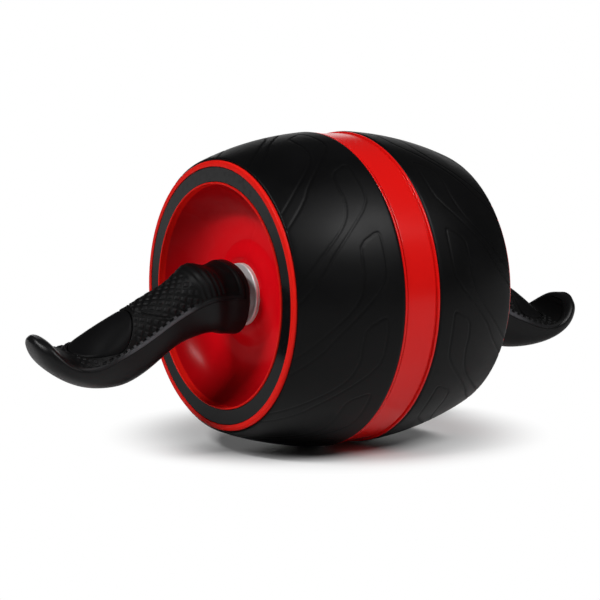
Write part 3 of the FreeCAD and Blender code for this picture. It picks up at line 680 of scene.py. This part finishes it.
class ROLLER_OT_band(bpy.types.Operator):
    """Red hoop between the treads: a flat face between two fine valleys and two rounded beads"""

    bl_idname = "roller.band"
    bl_label = "Centre band"

    def execute(self, context):
        inside = BAND_EDGE - BEAD_WIDTH
        half = [(BAND_FACE, inside - 1.4), (BAND_VALLEY, inside - 1.0), (BAND_VALLEY, inside - 0.3),
                (BAND_BEAD, inside), (BAND_BEAD, BAND_EDGE), (BAND_FOOT, BAND_EDGE)]
        outline = [(radius, -y) for radius, y in half[::-1]] + half
        fillets = [0.3, 0.25, 0.2, 0.45, 0.5, 0.5]
        profile = rounded(outline, fillets[::-1] + fillets)
        place_piece("band_hoop", spun(profile, 384), "wheel", ["centre_band"], "band_plastic",
                    wrap=True, sharp=40)
        return {"FINISHED"}


def dish_outline():
    """Half profile of a dished end: hub, boss, dish curve, lip, ring groove and rim, closed behind. The
    boss falls in a smooth step, the dish is a circle's arc, and the slices drop spare corners."""
    hub = rounded([(HUB_BORE, HUB_BACK), (HUB_BORE, HUB_STEP), (HUB_RECESS, HUB_STEP),
                   (HUB_RECESS, HUB_FACE), (BOSS_RADIUS - 9.5, HUB_FACE)],
                  [0.2, 0.2, 0.2, 0.3, 0.2], 8)[5:-6]
    slope = np.linspace(BOSS_RADIUS - 9.0, DISH_VALLEY, 44)
    fall = ease(slope, BOSS_RADIUS - 8.5, BOSS_RADIUS + 3.0)
    boss = np.stack([slope, HUB_FACE + (DISH_FLOOR - HUB_FACE) * fall], -1)
    radius = np.linspace(DISH_VALLEY, DISH_RADIUS, 46)[1:]
    hollow = DISH_FLOOR + DISH_CURVE - np.sqrt(DISH_CURVE ** 2 - (radius - DISH_VALLEY) ** 2)
    curve = np.stack([radius, hollow], -1)
    inner, outer = RING_INNER - RING_PLAY, RING_OUTER + RING_PLAY
    rim = rounded([(DISH_RADIUS, LIP_START), (DISH_RADIUS, LIP_FACE), (inner, LIP_FACE), (inner, RING_BACK),
                   (outer, RING_BACK), (outer, RIM_FACE), (RIM_RADIUS, RIM_FACE), (RIM_RADIUS, RIM_STEP),
                   (RIM_RADIUS + 1.0, RIM_STEP)], [0.1, 0.45, 0.45, 0.1, 0.1, 0.3, 1.7, 0.1, 0.1])[8:-8]
    out = np.array([RIM_STEP, 55.0, 40.0, 25.0, BAND_EDGE])
    lift = SHOULDER_LIFT * (out / SHOULDER) ** 2
    seat = np.stack([tread_radius(out) - (TREAD_THICKNESS + TREAD_SEAT_GAP) - lift, out], -1)
    return np.concatenate([hub, boss, curve, rim, seat, CORE_BACK])


def sink_bores(points):
    """Screw bores in a dish: points near a bore's edge are drawn on to it, and those inside go down."""
    angle = np.radians(45.0 + 90.0 * np.arange(4))
    centres = SCREW_CIRCLE * np.stack([np.cos(angle), np.sin(angle)], -1)
    flat = points[..., (0, 2)]
    away = flat[..., None, :] - centres
    nearest = np.linalg.norm(away, axis=-1).argmin(-1)
    offset = flat - centres[nearest]
    distance = np.linalg.norm(offset, axis=-1)
    pull = 0.42
    front = (points[..., 1] > SCREW_BORE_ZONE[0]) & (points[..., 1] < SCREW_BORE_ZONE[1])
    edge = front & (np.abs(distance - SCREW_BORE) < pull)
    within = front & (distance < SCREW_BORE - pull)
    scale = np.where(edge, SCREW_BORE / np.maximum(distance, 0.01), 1.0)
    points[..., (0, 2)] = centres[nearest] + offset * scale[..., None]
    points[..., 1] -= np.where(within, SCREW_BORE_DEPTH, 0.0)
    return points


class ROLLER_OT_ends(bpy.types.Operator):
    """Red dished ends with their hubs, rims and, on the left, screw bores, and the glossy inlay rings"""

    bl_idname = "roller.ends"
    bl_label = "Dished ends"

    def execute(self, context):
        plain = spun(dish_outline(), 480)
        dishes = {"left": sink_bores(plain.copy()), "right": plain}
        inlay = rounded([(RING_INNER, RING_BACK), (RING_INNER, RING_FRONT), (RING_OUTER, RING_FRONT),
                         (RING_OUTER, RING_BACK)], [0.1, 0.3, 0.3, 0.1])
        for name, side in SIDES:
            place_piece("dished_end_" + name, for_side(dishes[name], side), "wheel", ["core_" + name],
                        "red_plastic", wrap=True, sharp=42)
            place_piece("inlay_ring_" + name, for_side(spun(inlay, 384), side), "wheel",
                        ["face_ring_" + name], "ring_gloss", wrap=True, sharp=40)
        return {"FINISHED"}


class ROLLER_OT_axle(bpy.types.Operator):
    """Bright steel: the axle tube and the turned washers that hold the wheel on it"""

    bl_idname = "roller.axle"
    bl_label = "Axle and washers"

    def execute(self, context):
        tube = rounded([(TUBE_BORE, -TUBE_END), (TUBE_RADIUS, -TUBE_END), (TUBE_RADIUS, TUBE_END),
                        (TUBE_BORE, TUBE_END)], [0.3, 0.4, 0.4, 0.3])
        place_piece("axle_bar", spun(tube, 128), "axle_and_handles", ["axle_tube"], "tube_steel",
                    wrap=True, sharp=40)
        washer = rounded([(WASHER_BORE, WASHER_BACK), (WASHER_RADIUS, WASHER_BACK),
                          (WASHER_RADIUS, WASHER_FRONT), (WASHER_BORE, WASHER_FRONT)], [0.2, 0.4, 0.7, 0.2])
        place_pair("turned_washer_", spun(washer, 192), "axle_and_handles", "end_washer_", "washer_steel",
                   wrap=True, sharp=40)
        return {"FINISHED"}


def along_at(distance):
    """Distance along the middle line at which the handle reaches a distance out from its collar."""
    fine = np.linspace(0.0, KNOTS[-1], 600)
    return np.interp(distance, spline(fine, slice(0, 1))[:, 0], fine)


# Along the middle line: where the seam starts to close and where it ends, and the lip's last section
SEAM_CLOSE = along_at(np.array([101.0, 118.6]))
LIP_END = KNOTS[-1]
# The section angle past which the seam comes no nearer to the top
NARROWEST = np.pi / 2 - 0.12


def squared(value):
    """Cosine or sine of a superellipse."""
    return np.sign(value) * np.abs(value) ** (2.0 / SECTION_POWER)


def middle_line(at):
    """Direction of the middle line, out and down, taken over a longer run behind the collar so that the
    sections fan out gently there."""
    shortest, longer = 0.05, 8.0
    reach = shortest + longer * ease(at, 52.0, 30.0)
    slope = spline(at + reach, slice(0, 2)) - spline(np.maximum(at - reach, 0.0), slice(0, 2))
    return slope / np.linalg.norm(slope, axis=1, keepdims=True)


def handle_points(at, angle, inset):
    """Handle's form. Across each station lies a superellipse with its own half width, height and depth,
    drawn in by the inset, and square to the drooping middle line."""
    along, drop, width, above, below = [column[:, None] for column in spline(at).T]
    slope = middle_line(at)
    ahead_y, ahead_z = slope[:, :1], -slope[:, 1:]
    side = squared(np.cos(angle)) * np.maximum(width - inset, THINNEST)
    rise = squared(np.sin(angle))
    height = rise * np.maximum(np.where(rise > 0, above, below) - inset, THINNEST)
    y = HANDLE_START + along - height * ahead_z
    z = height * ahead_y - drop
    return np.stack(np.broadcast_arrays(side, y, z), axis=-1)


def seam_angle(at):
    """Section angle of the seam between hull and grip: a little above the middle along the sides,
    closing to the top in a rounded end short of the lip."""
    along, _, _, above, _ = spline(at).T
    rise = SEAM_RISE + SEAM_RISE_AT_COLLAR * ease(along, 60.0, 20.0)
    base = np.arcsin(np.clip(rise / above, 0.0, 1.0) ** (SECTION_POWER / 2.0))
    closing = np.clip((at - SEAM_CLOSE[0]) / (SEAM_CLOSE[1] - SEAM_CLOSE[0]), 0.0, 1.0)
    return base + (np.pi / 2 - base) * (1.0 - np.sqrt(1.0 - closing ** 2))


def section_size(at):
    """Mean radius of the handle's sections, which turns section angles into lengths."""
    _, _, width, above, _ = spline(at).T
    return (width + above) / 2


def finger_recess(points, under):
    """Dished recess behind the collar round the button: a cone whose floor lies outside the tube, and a
    hole at its middle. Points outside the cone's wall move in to it."""
    x, y, z = np.moveaxis(points, -1, 0)
    distance = np.hypot(y - BUTTON_PLACE, z)
    wall = RECESS_FLOOR + np.clip((distance - RECESS_FLAT) * RECESS_SLOPE, 0.0, None)
    wall = np.where(distance < BUTTON_RADIUS + BUTTON_PLAY, RECESS_HOLE, wall) - under
    inside = (distance < RECESS_RADIUS) & (x < 0)
    x = np.where(inside, np.maximum(x, -wall), x)
    return np.stack([x, y, z], axis=-1)


def collar_rows(angle):
    """Rows ahead of the handle's body: the socket's round wall from its floor out to the collar's face, and
    the face's edge, a quarter circle of the collar's rounding."""
    bore = SOCKET_RADIUS * np.stack([np.cos(angle), 0 * angle, np.sin(angle)], axis=-1)
    depth = np.array([SOCKET_DEPTH, 12.0, 1.0, 0.4, 0.0])
    socket = bore + depth[:, None, None] * np.array([0.0, 1.0, 0.0]) + np.array([0.0, HANDLE_START, 0.0])
    back = 1.0 - np.linspace(0.0, 1.0, 6)[:-1, None]
    drawn_in = COLLAR_ROUND - COLLAR_ROUND * np.sqrt(1.0 - back ** 2)
    edge = handle_points(np.full(len(back), COLLAR_ROUND), angle, drawn_in)
    edge[..., 1] -= COLLAR_ROUND * back
    return np.concatenate([socket, edge])


def tip_rows(at, angle):
    """Rows past the last section: they narrow with the cosine and run ahead with the sine of an angle that
    goes from an eighth of a turn nearly to a quarter, so that the lip ends in a dome."""
    eighth = math.pi / 4
    tip = np.linspace(eighth, np.pi / 2 - 0.01, 14)[1:, None, None]
    last = handle_points(at[-1:], angle[-1:], 0.0)[0]
    middle = last.mean(axis=0)
    slope = np.diff(spline(at[-2:], slice(0, 2)), axis=0)[0]
    ahead = np.array([0.0, slope[0], -slope[1]]) / np.hypot(*slope)
    shrink = np.cos(tip) / math.cos(eighth)
    return middle + (last - middle) * shrink + ahead * TIP_LENGTH * (np.sin(tip) - math.sin(eighth))


class ROLLER_OT_hulls(bpy.types.Operator):
    """Hard black hulls: the handle's form with a bed for the grip, a socket and a domed lip"""

    bl_idname = "roller.hulls"
    bl_label = "Handle hulls"

    def execute(self, context):
        fine_end = 27.0
        at = np.concatenate([np.linspace(COLLAR_ROUND, GRIP_START, 6),
                             np.linspace(GRIP_START + BED_STEP, fine_end, 70),
                             np.linspace(fine_end + 0.3, LIP_END, 190)])
        seam = np.minimum(seam_angle(at), NARROWEST)[:, None]
        under = np.linspace(0.0, 1.0, 160)[None, :]
        over = np.concatenate([[0.006], np.linspace(0.02, 0.98, 92), [0.994]])[None, :]
        angle = np.concatenate([np.pi - seam + under * (np.pi + 2 * seam),
                                2 * np.pi + seam + over * (np.pi - 2 * seam)], axis=1)
        bed_end = SEAM_CLOSE[1] - 0.5
        bedded = between(at, (GRIP_START, GRIP_START + BED_STEP), (bed_end, bed_end - 0.5))
        covered = np.arange(angle.shape[1]) >= under.size
        bed = (GRIP_THICKNESS + BED_GAP) * bedded[:, None] * covered[None, :]
        body = finger_recess(handle_points(at, angle, bed), 0.0)
        points = leaned(np.concatenate([collar_rows(angle[:1]), body, tip_rows(at, angle)]))
        place_pair("handle_hull_", points, "axle_and_handles", "handle_core_", "hull_plastic", sharp=50)
        return {"FINISHED"}


def pad_share(points_at, x):
    """Distance from the palm pad's middle, along the handle and across it, as a share of its oval."""
    middle = along_at(PAD_CENTRE)
    return np.hypot((points_at - middle) / PAD_HALF_LENGTH, x / PAD_HALF_WIDTH)


def grip_distances(at, skin):
    """Distances on a grip's face: across from its ridge, and in from its nearest edge or end. The lengths
    of the runs between neighbouring points add up to the distance across."""
    step = np.linalg.norm(np.diff(skin, axis=1), axis=-1)
    arc = np.concatenate([np.zeros((len(at), 1)), np.cumsum(step, axis=1)], axis=1)
    width = arc[:, -1:]
    ends = np.minimum((at - at[0])[:, None], (at[-1] - at)[:, None])
    return arc - width / 2, np.minimum(np.minimum(arc, width - arc), ends)


def bent_line(at, offset):
    """Line across a grip along a parabola. The distance to it is the parabola's value over the length of
    its gradient."""
    bend = at[:, None] - LINE_PLACE + LINE_BEND * offset ** 2
    away = np.abs(bend) / np.sqrt(1.0 + (2.0 * LINE_BEND * offset) ** 2)
    return ease(away, *LINE_WIDTH) * ease(np.abs(offset), *LINE_REACH)


def edge_bead(along, edge):
    """Bead along a grip's edge, half an ellipse across, lower on the collar and fading towards the lip."""
    bead = np.clip(1.0 - ((edge - BEAD_HALF_WIDTH) / BEAD_HALF_WIDTH) ** 2, 0.0, 1.0) ** 0.5
    return bead * (0.3 + 0.7 * ease(along, *BEAD_RISE)) * ease(along, *BEAD_FADE)


def square_nubs(at, offset, pitch):
    """Nubs in rows at 45 degrees to the handle: a point's place in its cell is taken along both rows."""
    rows = [(at[:, None] + offset) / math.sqrt(2.0), (at[:, None] - offset) / math.sqrt(2.0)]
    return ease(np.maximum(*[cell(row, pitch) for row in rows]), 0.34, 0.23)


class ROLLER_OT_grips(bpy.types.Operator):
    """Rubber grips let into the hulls: square nubs along the palm with a bent line across them, bars over
    the ridge, short ribs on the collar, an edge bead with teeth beside it, and a bed for the pad"""

    bl_idname = "roller.grips"
    bl_label = "Grips"

    def execute(self, context):
        sizes = context.scene.roller_sizes
        start = along_at(GRIP_START + GRIP_SEAM)
        share = np.linspace(0.0, 1.0, 372)
        at = start + (SEAM_CLOSE[1] - SEAM_END_GAP - start) * (1.0 - (1.0 - share) ** 1.3)
        low = np.minimum(seam_angle(at) + 0.04 / section_size(at), NARROWEST)[:, None]
        angle = low + (np.pi - 2 * low) * np.linspace(0.0, 1.0, 212)[None, :]
        skin = handle_points(at, angle, 0.0)
        offset, edge = grip_distances(at, skin)
        across = np.abs(offset)
        along = spline(at, slice(0, 1))
        oval = pad_share(at[:, None], skin[..., 0])
        rounding = 0.2 * (1.0 - np.clip(edge / 0.5, 0.0, 1.0)) ** 2
        bead = edge_bead(along, edge)
        beside = between(edge, *DASH_EDGE) * between(along, *DASH_SPAN)
        dash = ease(cell(at, DASH_PITCH), 0.31, 0.23)[:, None]
        notch, teeth = beside * dash, beside * (1.0 - dash)
        border = (BEAD_HEIGHT * bead - BORDER_DEPTH * ease(edge, *BORDER_EDGE)
                  + TOOTH_HEIGHT * teeth - NOTCH_DEPTH * notch)
        line = bent_line(at, offset)
        nubs = square_nubs(at, offset, sizes.nub_pitch / MM) * ease(edge, *NUB_EDGE) * (1.0 - beside)
        nubs = nubs * ease(oval, *PAD_CLEARANCE) * between(along, *NUB_SPAN) * (1.0 - line)
        bars = ease(cell(along, BAR_PITCH), 0.14, 0.32) * (0.35 + 0.65 * ease(across, *RIDGE))
        bars = bars * between(along, *BAR_SPAN) * ease(edge, *BAR_EDGE)
        ribs = ease(cell(along, RIB_PITCH, RIB_SHIFT), 0.16, 0.07)
        ribs = ribs * ease(across, *RIB_HALF_LENGTH) * between(along, *RIB_SPAN)
        # Relief of the nubs, bars and ribs; the finish also reads it to paint light on them and shade round
        # them.
        raised = np.clip(nubs + bars + 0.35 * ribs, 0.0, 1.0)
        bed = PAD_BED * ease(oval, *PAD_BED_EDGE)
        height = sizes.nub_height / MM
        outer = handle_points(at, angle, rounding + bed + LINE_DEPTH * line - border - height * raised)
        inner_angle = low + (np.pi - 2 * low) * np.linspace(1.0, 0.0, 16)[None, :]
        inner = handle_points(at, inner_angle, GRIP_THICKNESS)
        loop = leaned(finger_recess(np.concatenate([outer, inner], axis=1), GRIP_SINK))
        # Painted highlight on the edge bead and the teeth beside it, full along its span and weaker towards
        # the collar and the lip.
        painted_edge_highlight = np.maximum(bead, 0.6 * teeth) * (0.15 + 0.85 * between(along, *EDGE_HIGHLIGHT_SPAN))
        values = {key: np.concatenate([value, np.zeros(inner.shape[:2])], axis=1)
                  for key, value in (("raised", raised), ("bead", painted_edge_highlight))}
        place_pair("grip_skin_", loop, "axle_and_handles", "grip_", "grip_rubber", values=values, sharp=60)
        return {"FINISHED"}


def over_handle(at, x, lift):
    """Point of the handle's upper surface at a distance along and a distance across, lifted off it:
    the superellipse gives its height over the middle line."""
    shape = at.shape
    at, x, lift = [np.ravel(value) for value in (at, x, lift)]
    along, drop, width, above, _ = spline(at).T
    slope = middle_line(at)
    height = above * (1.0 - np.abs(x / width) ** SECTION_POWER) ** (1.0 / SECTION_POWER) + lift
    y = HANDLE_START + along + height * slope[:, 1]
    z = height * slope[:, 0] - drop
    return np.stack([x, y, z], axis=-1).reshape(*shape, 3)


class ROLLER_OT_pads(bpy.types.Operator):
    """Smooth palm pads: an oval of the handle's surface, crowned in the middle and rolled at its rim"""

    bl_idname = "roller.pads"
    bl_label = "Palm pads"

    def execute(self, context):
        crown = context.scene.roller_sizes.pad_crown / MM
        angle = np.linspace(0.0, 2.0 * np.pi, 120, endpoint=False)[None, :]
        pole, roll_start, rim = 0.01, 0.9, 0.97
        share = np.concatenate([np.linspace(pole, roll_start, 40),
                                np.linspace(roll_start + 0.005, rim, 14)])
        rolled = np.clip((share - roll_start) / (rim - roll_start), 0.0, 1.0)
        top = crown * (1.0 - share ** 2) - PAD_ROLL * rolled ** 2.5
        share = np.concatenate([share, [rim, roll_start, 0.5, pole]])[:, None]
        lift = np.concatenate([top, [PAD_BACK + 0.05, PAD_BACK, PAD_BACK, PAD_BACK]])[:, None]
        at = along_at(PAD_CENTRE) + PAD_HALF_LENGTH * share * np.cos(angle)
        x = PAD_HALF_WIDTH * share * np.sin(angle)
        points = leaned(over_handle(at, x, np.broadcast_to(lift, at.shape)))
        place_pair("palm_cushion_", points, "axle_and_handles", "palm_pad_", "pad_rubber", sharp=50)
        return {"FINISHED"}


class ROLLER_OT_buttons(bpy.types.Operator):
    """Domed snap buttons behind the collars: a turned profile about the button's own line"""

    bl_idname = "roller.buttons"
    bl_label = "Snap buttons"

    def execute(self, context):
        bend = np.linspace(0.0, np.pi / 2, 9)
        dome = np.stack([BUTTON_RADIUS - 1.0 + np.cos(bend), BUTTON_TOP - 0.9 + 0.55 * np.sin(bend)], -1)
        rise = np.linspace(0.0, 1.0, 8)
        crown = np.stack([np.linspace(2.6, POLE, 8), BUTTON_TOP - 0.35 + 0.3 * rise], -1)
        foot = np.array([(POLE, BUTTON_BACK), (BUTTON_FLANGE, BUTTON_BACK),
                         (BUTTON_FLANGE, BUTTON_FLANGE_FACE), (BUTTON_RADIUS, BUTTON_FLANGE_FACE)])
        radius, out = np.concatenate([foot, dome, crown]).T[..., None]
        angle = np.linspace(0.0, 2.0 * np.pi, 64, endpoint=False)[None, :]
        around = [-out + 0 * angle, BUTTON_PLACE + radius * np.cos(angle), radius * np.sin(angle)]
        points = leaned(np.stack(around, axis=-1))
        for name, side in SIDES:
            place_piece("push_button_" + name, for_side(points, side), "button_" + name,
                        ["snap_button_" + name], "tube_steel", sharp=45)
        return {"FINISHED"}


class ROLLER_OT_inner_works(bpy.types.Operator):
    """Finishes of the solids that stay as they are: bushes, return spring, drum, screws and leaf springs"""

    bl_idname = "roller.inner_works"
    bl_label = "Inner works"

    def execute(self, context):
        for subpart in frame["record"]["subparts"]:
            piece = frame["nodes"][subpart["node"]]
            if not piece.hide_render:
                piece.data.materials.clear()
                piece.data.materials.append(finish(subpart["material_slot"]))
        return {"FINISHED"}


def heading(azimuth, elevation):
    """Unit vector towards a compass direction, counted from -Y towards +X, and a height in degrees."""
    turn, rise = math.radians(azimuth), math.radians(elevation)
    return np.array([math.sin(turn) * math.cos(rise), -math.cos(turn) * math.cos(rise), math.sin(rise)])


# Camera fitted to the photograph: its frame, focal length and shift in pixels, and its distance in metres
CAMERA_HEADING = heading(54.53, 6.0)
CAMERA_DISTANCE = 1.2318
FRAME_PIXELS = 600.0
FOCAL_PIXELS = 2080.0
SHIFT_PIXELS = (-27.11, -12.17)
SENSOR_WIDTH = 36.0

# Lamps: compass direction, height in degrees, distance, width and height in metres, power in watts
LAMPS = {
    "right_lamp": (113.0, 45.0, 1.5, 0.6, 0.6, 15.0),
    "front_lamp": (6.0, 43.0, 1.4, 0.52, 0.09, 12.5),
}
FLOOR_RADIUS = 6.0
SHADOW_SHIFT = 0.035
SHADOW_EDGE = (0.075, 0.14)


def seen_white(paint, near, far):
    """Share of white that a ray finds on the backdrop: all of it for the camera and through glass, and
    for reflections the part that lies behind the roller."""
    camera, glossy, through = [paint.node("ShaderNodeLightPath", output=name)
                               for name in ("Is Camera Ray", "Is Glossy Ray", "Is Transmission Ray")]
    depth = paint.node("ShaderNodeVectorMath", {"operation": "DOT_PRODUCT"},
                       {0: paint.place, 1: tuple(-CAMERA_HEADING)}, output="Value")
    return camera + through + glossy * paint.ramp(depth, near, far)


def floor_finish(colour):
    """Pale floor that keeps the roller's shadow and runs out to white round it."""
    paint = Paint(bpy.data.materials.new("pale_floor"))
    cloud = paint.noise(6.0, 2.0)
    paint.set(Base_Color=paint.blend(cloud, tint(colour, 0.99), tint(colour, 1.01)))
    paint.set(Roughness=0.42, Specular_IOR_Level=0.25)
    middle = -SHADOW_SHIFT * CAMERA_HEADING
    reach = paint.distance((1.0, 1.0, 0.0), (-middle[0], -middle[1], 0.0))
    white = seen_white(paint, 0.3, 0.6) * paint.ramp(reach, *SHADOW_EDGE)
    glow = paint.node("ShaderNodeEmission", None, {"Color": (1.0, 1.0, 1.0, 1.0), "Strength": 1.0})
    mixed = paint.node("ShaderNodeMixShader", None,
                       {0: white, 1: Socket(paint, paint.shader.outputs["BSDF"]), 2: glow})
    paint.join(paint.tree.nodes["Material Output"].inputs["Surface"], mixed)
    return paint.material


def softbox(name, place, width, height, power):
    """Rectangular lamp that faces the roller."""
    lamp = bpy.data.lights.new(name, "AREA")
    lamp.shape = "RECTANGLE"
    lamp.size = width
    lamp.size_y = height
    lamp.energy = power
    holder = bpy.data.objects.new(name, lamp)
    holder.location = place
    holder.rotation_euler = Vector(-place).to_track_quat("-Z", "Y").to_euler()
    bpy.context.scene.collection.objects.link(holder)


class ROLLER_OT_stage(bpy.types.Operator):
    """Pale floor, white surroundings, soft studio lamps and the camera"""

    bl_idname = "roller.stage"
    bl_label = "Stage"

    def execute(self, context):
        scene = context.scene
        scene.view_settings.view_transform = "Standard"
        angle = np.linspace(0.0, 2.0 * np.pi, 96, endpoint=False)
        disc = np.stack([np.cos(angle), np.sin(angle), 0 * angle], axis=-1) * FLOOR_RADIUS
        mesh = bpy.data.meshes.new("floor")
        mesh.from_pydata((disc + (0.0, 0.0, FLOOR_LEVEL)).tolist(), [], [list(range(len(disc)))])
        mesh.materials.append(floor_finish(scene.roller_colours.floor))
        floor = bpy.data.objects.new("floor", mesh)
        scene.collection.objects.link(floor)
        scene.world = bpy.data.worlds.new("surroundings")
        paint = Paint(scene.world, "Background")
        paint.set(Color=(1.0, 1.0, 1.0, 1.0))
        paint.set(Strength=paint.ramp(seen_white(paint, 0.85, 0.95), 0.0, 1.0, 0.04, 1.0))
        for name, (turn, rise, away, *panel) in LAMPS.items():
            softbox(name, heading(turn, rise) * away, *panel)
        lens = bpy.data.cameras.new("camera")
        lens.sensor_width = SENSOR_WIDTH
        lens.lens = SENSOR_WIDTH * FOCAL_PIXELS / FRAME_PIXELS
        lens.shift_x = SHIFT_PIXELS[0] / FRAME_PIXELS
        lens.shift_y = SHIFT_PIXELS[1] / FRAME_PIXELS
        lens.clip_start = 0.05
        camera = bpy.data.objects.new("camera", lens)
        camera.location = CAMERA_HEADING * CAMERA_DISTANCE
        camera.rotation_euler = Vector(-CAMERA_HEADING).to_track_quat("-Z", "Y").to_euler()
        scene.collection.objects.link(camera)
        scene.camera = camera
        return {"FINISHED"}


STEPS = (
    ROLLER_OT_stage, ROLLER_OT_treads, ROLLER_OT_band, ROLLER_OT_ends, ROLLER_OT_axle, ROLLER_OT_hulls,
    ROLLER_OT_grips, ROLLER_OT_pads, ROLLER_OT_buttons, ROLLER_OT_inner_works,
)


class ROLLER_PT_panel(bpy.types.Panel):
    """Sidebar panel with the roller's sizes, colours and steps"""

    bl_idname = "ROLLER_PT_panel"
    bl_label = "Barrel roller"
    bl_space_type = "VIEW_3D"
    bl_region_type = "UI"
    bl_category = "Roller"

    def draw(self, context):
        for group in (context.scene.roller_sizes, context.scene.roller_colours):
            for name in group.__annotations__:
                self.layout.prop(group, name)
        for step in STEPS:
            self.layout.operator(step.bl_idname)


CLASSES = (RollerSizes, RollerColours, *STEPS, ROLLER_PT_panel)


def register():
    for item in CLASSES:
        bpy.utils.register_class(item)
    bpy.types.Scene.roller_sizes = bpy.props.PointerProperty(type=RollerSizes)
    bpy.types.Scene.roller_colours = bpy.props.PointerProperty(type=RollerColours)


def unregister():
    del bpy.types.Scene.roller_colours
    del bpy.types.Scene.roller_sizes
    for item in reversed(CLASSES):
        bpy.utils.unregister_class(item)


def main():
    """Registers the add-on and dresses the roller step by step."""
    register()
    bpy.ops.roller.stage()
    bpy.ops.roller.treads()
    bpy.ops.roller.band()
    bpy.ops.roller.ends()
    bpy.ops.roller.axle()
    bpy.ops.roller.hulls()
    bpy.ops.roller.grips()
    bpy.ops.roller.pads()
    bpy.ops.roller.buttons()
    bpy.ops.roller.inner_works()
    bpy.context.view_layer.update()


if __name__ == "__main__":
    main()
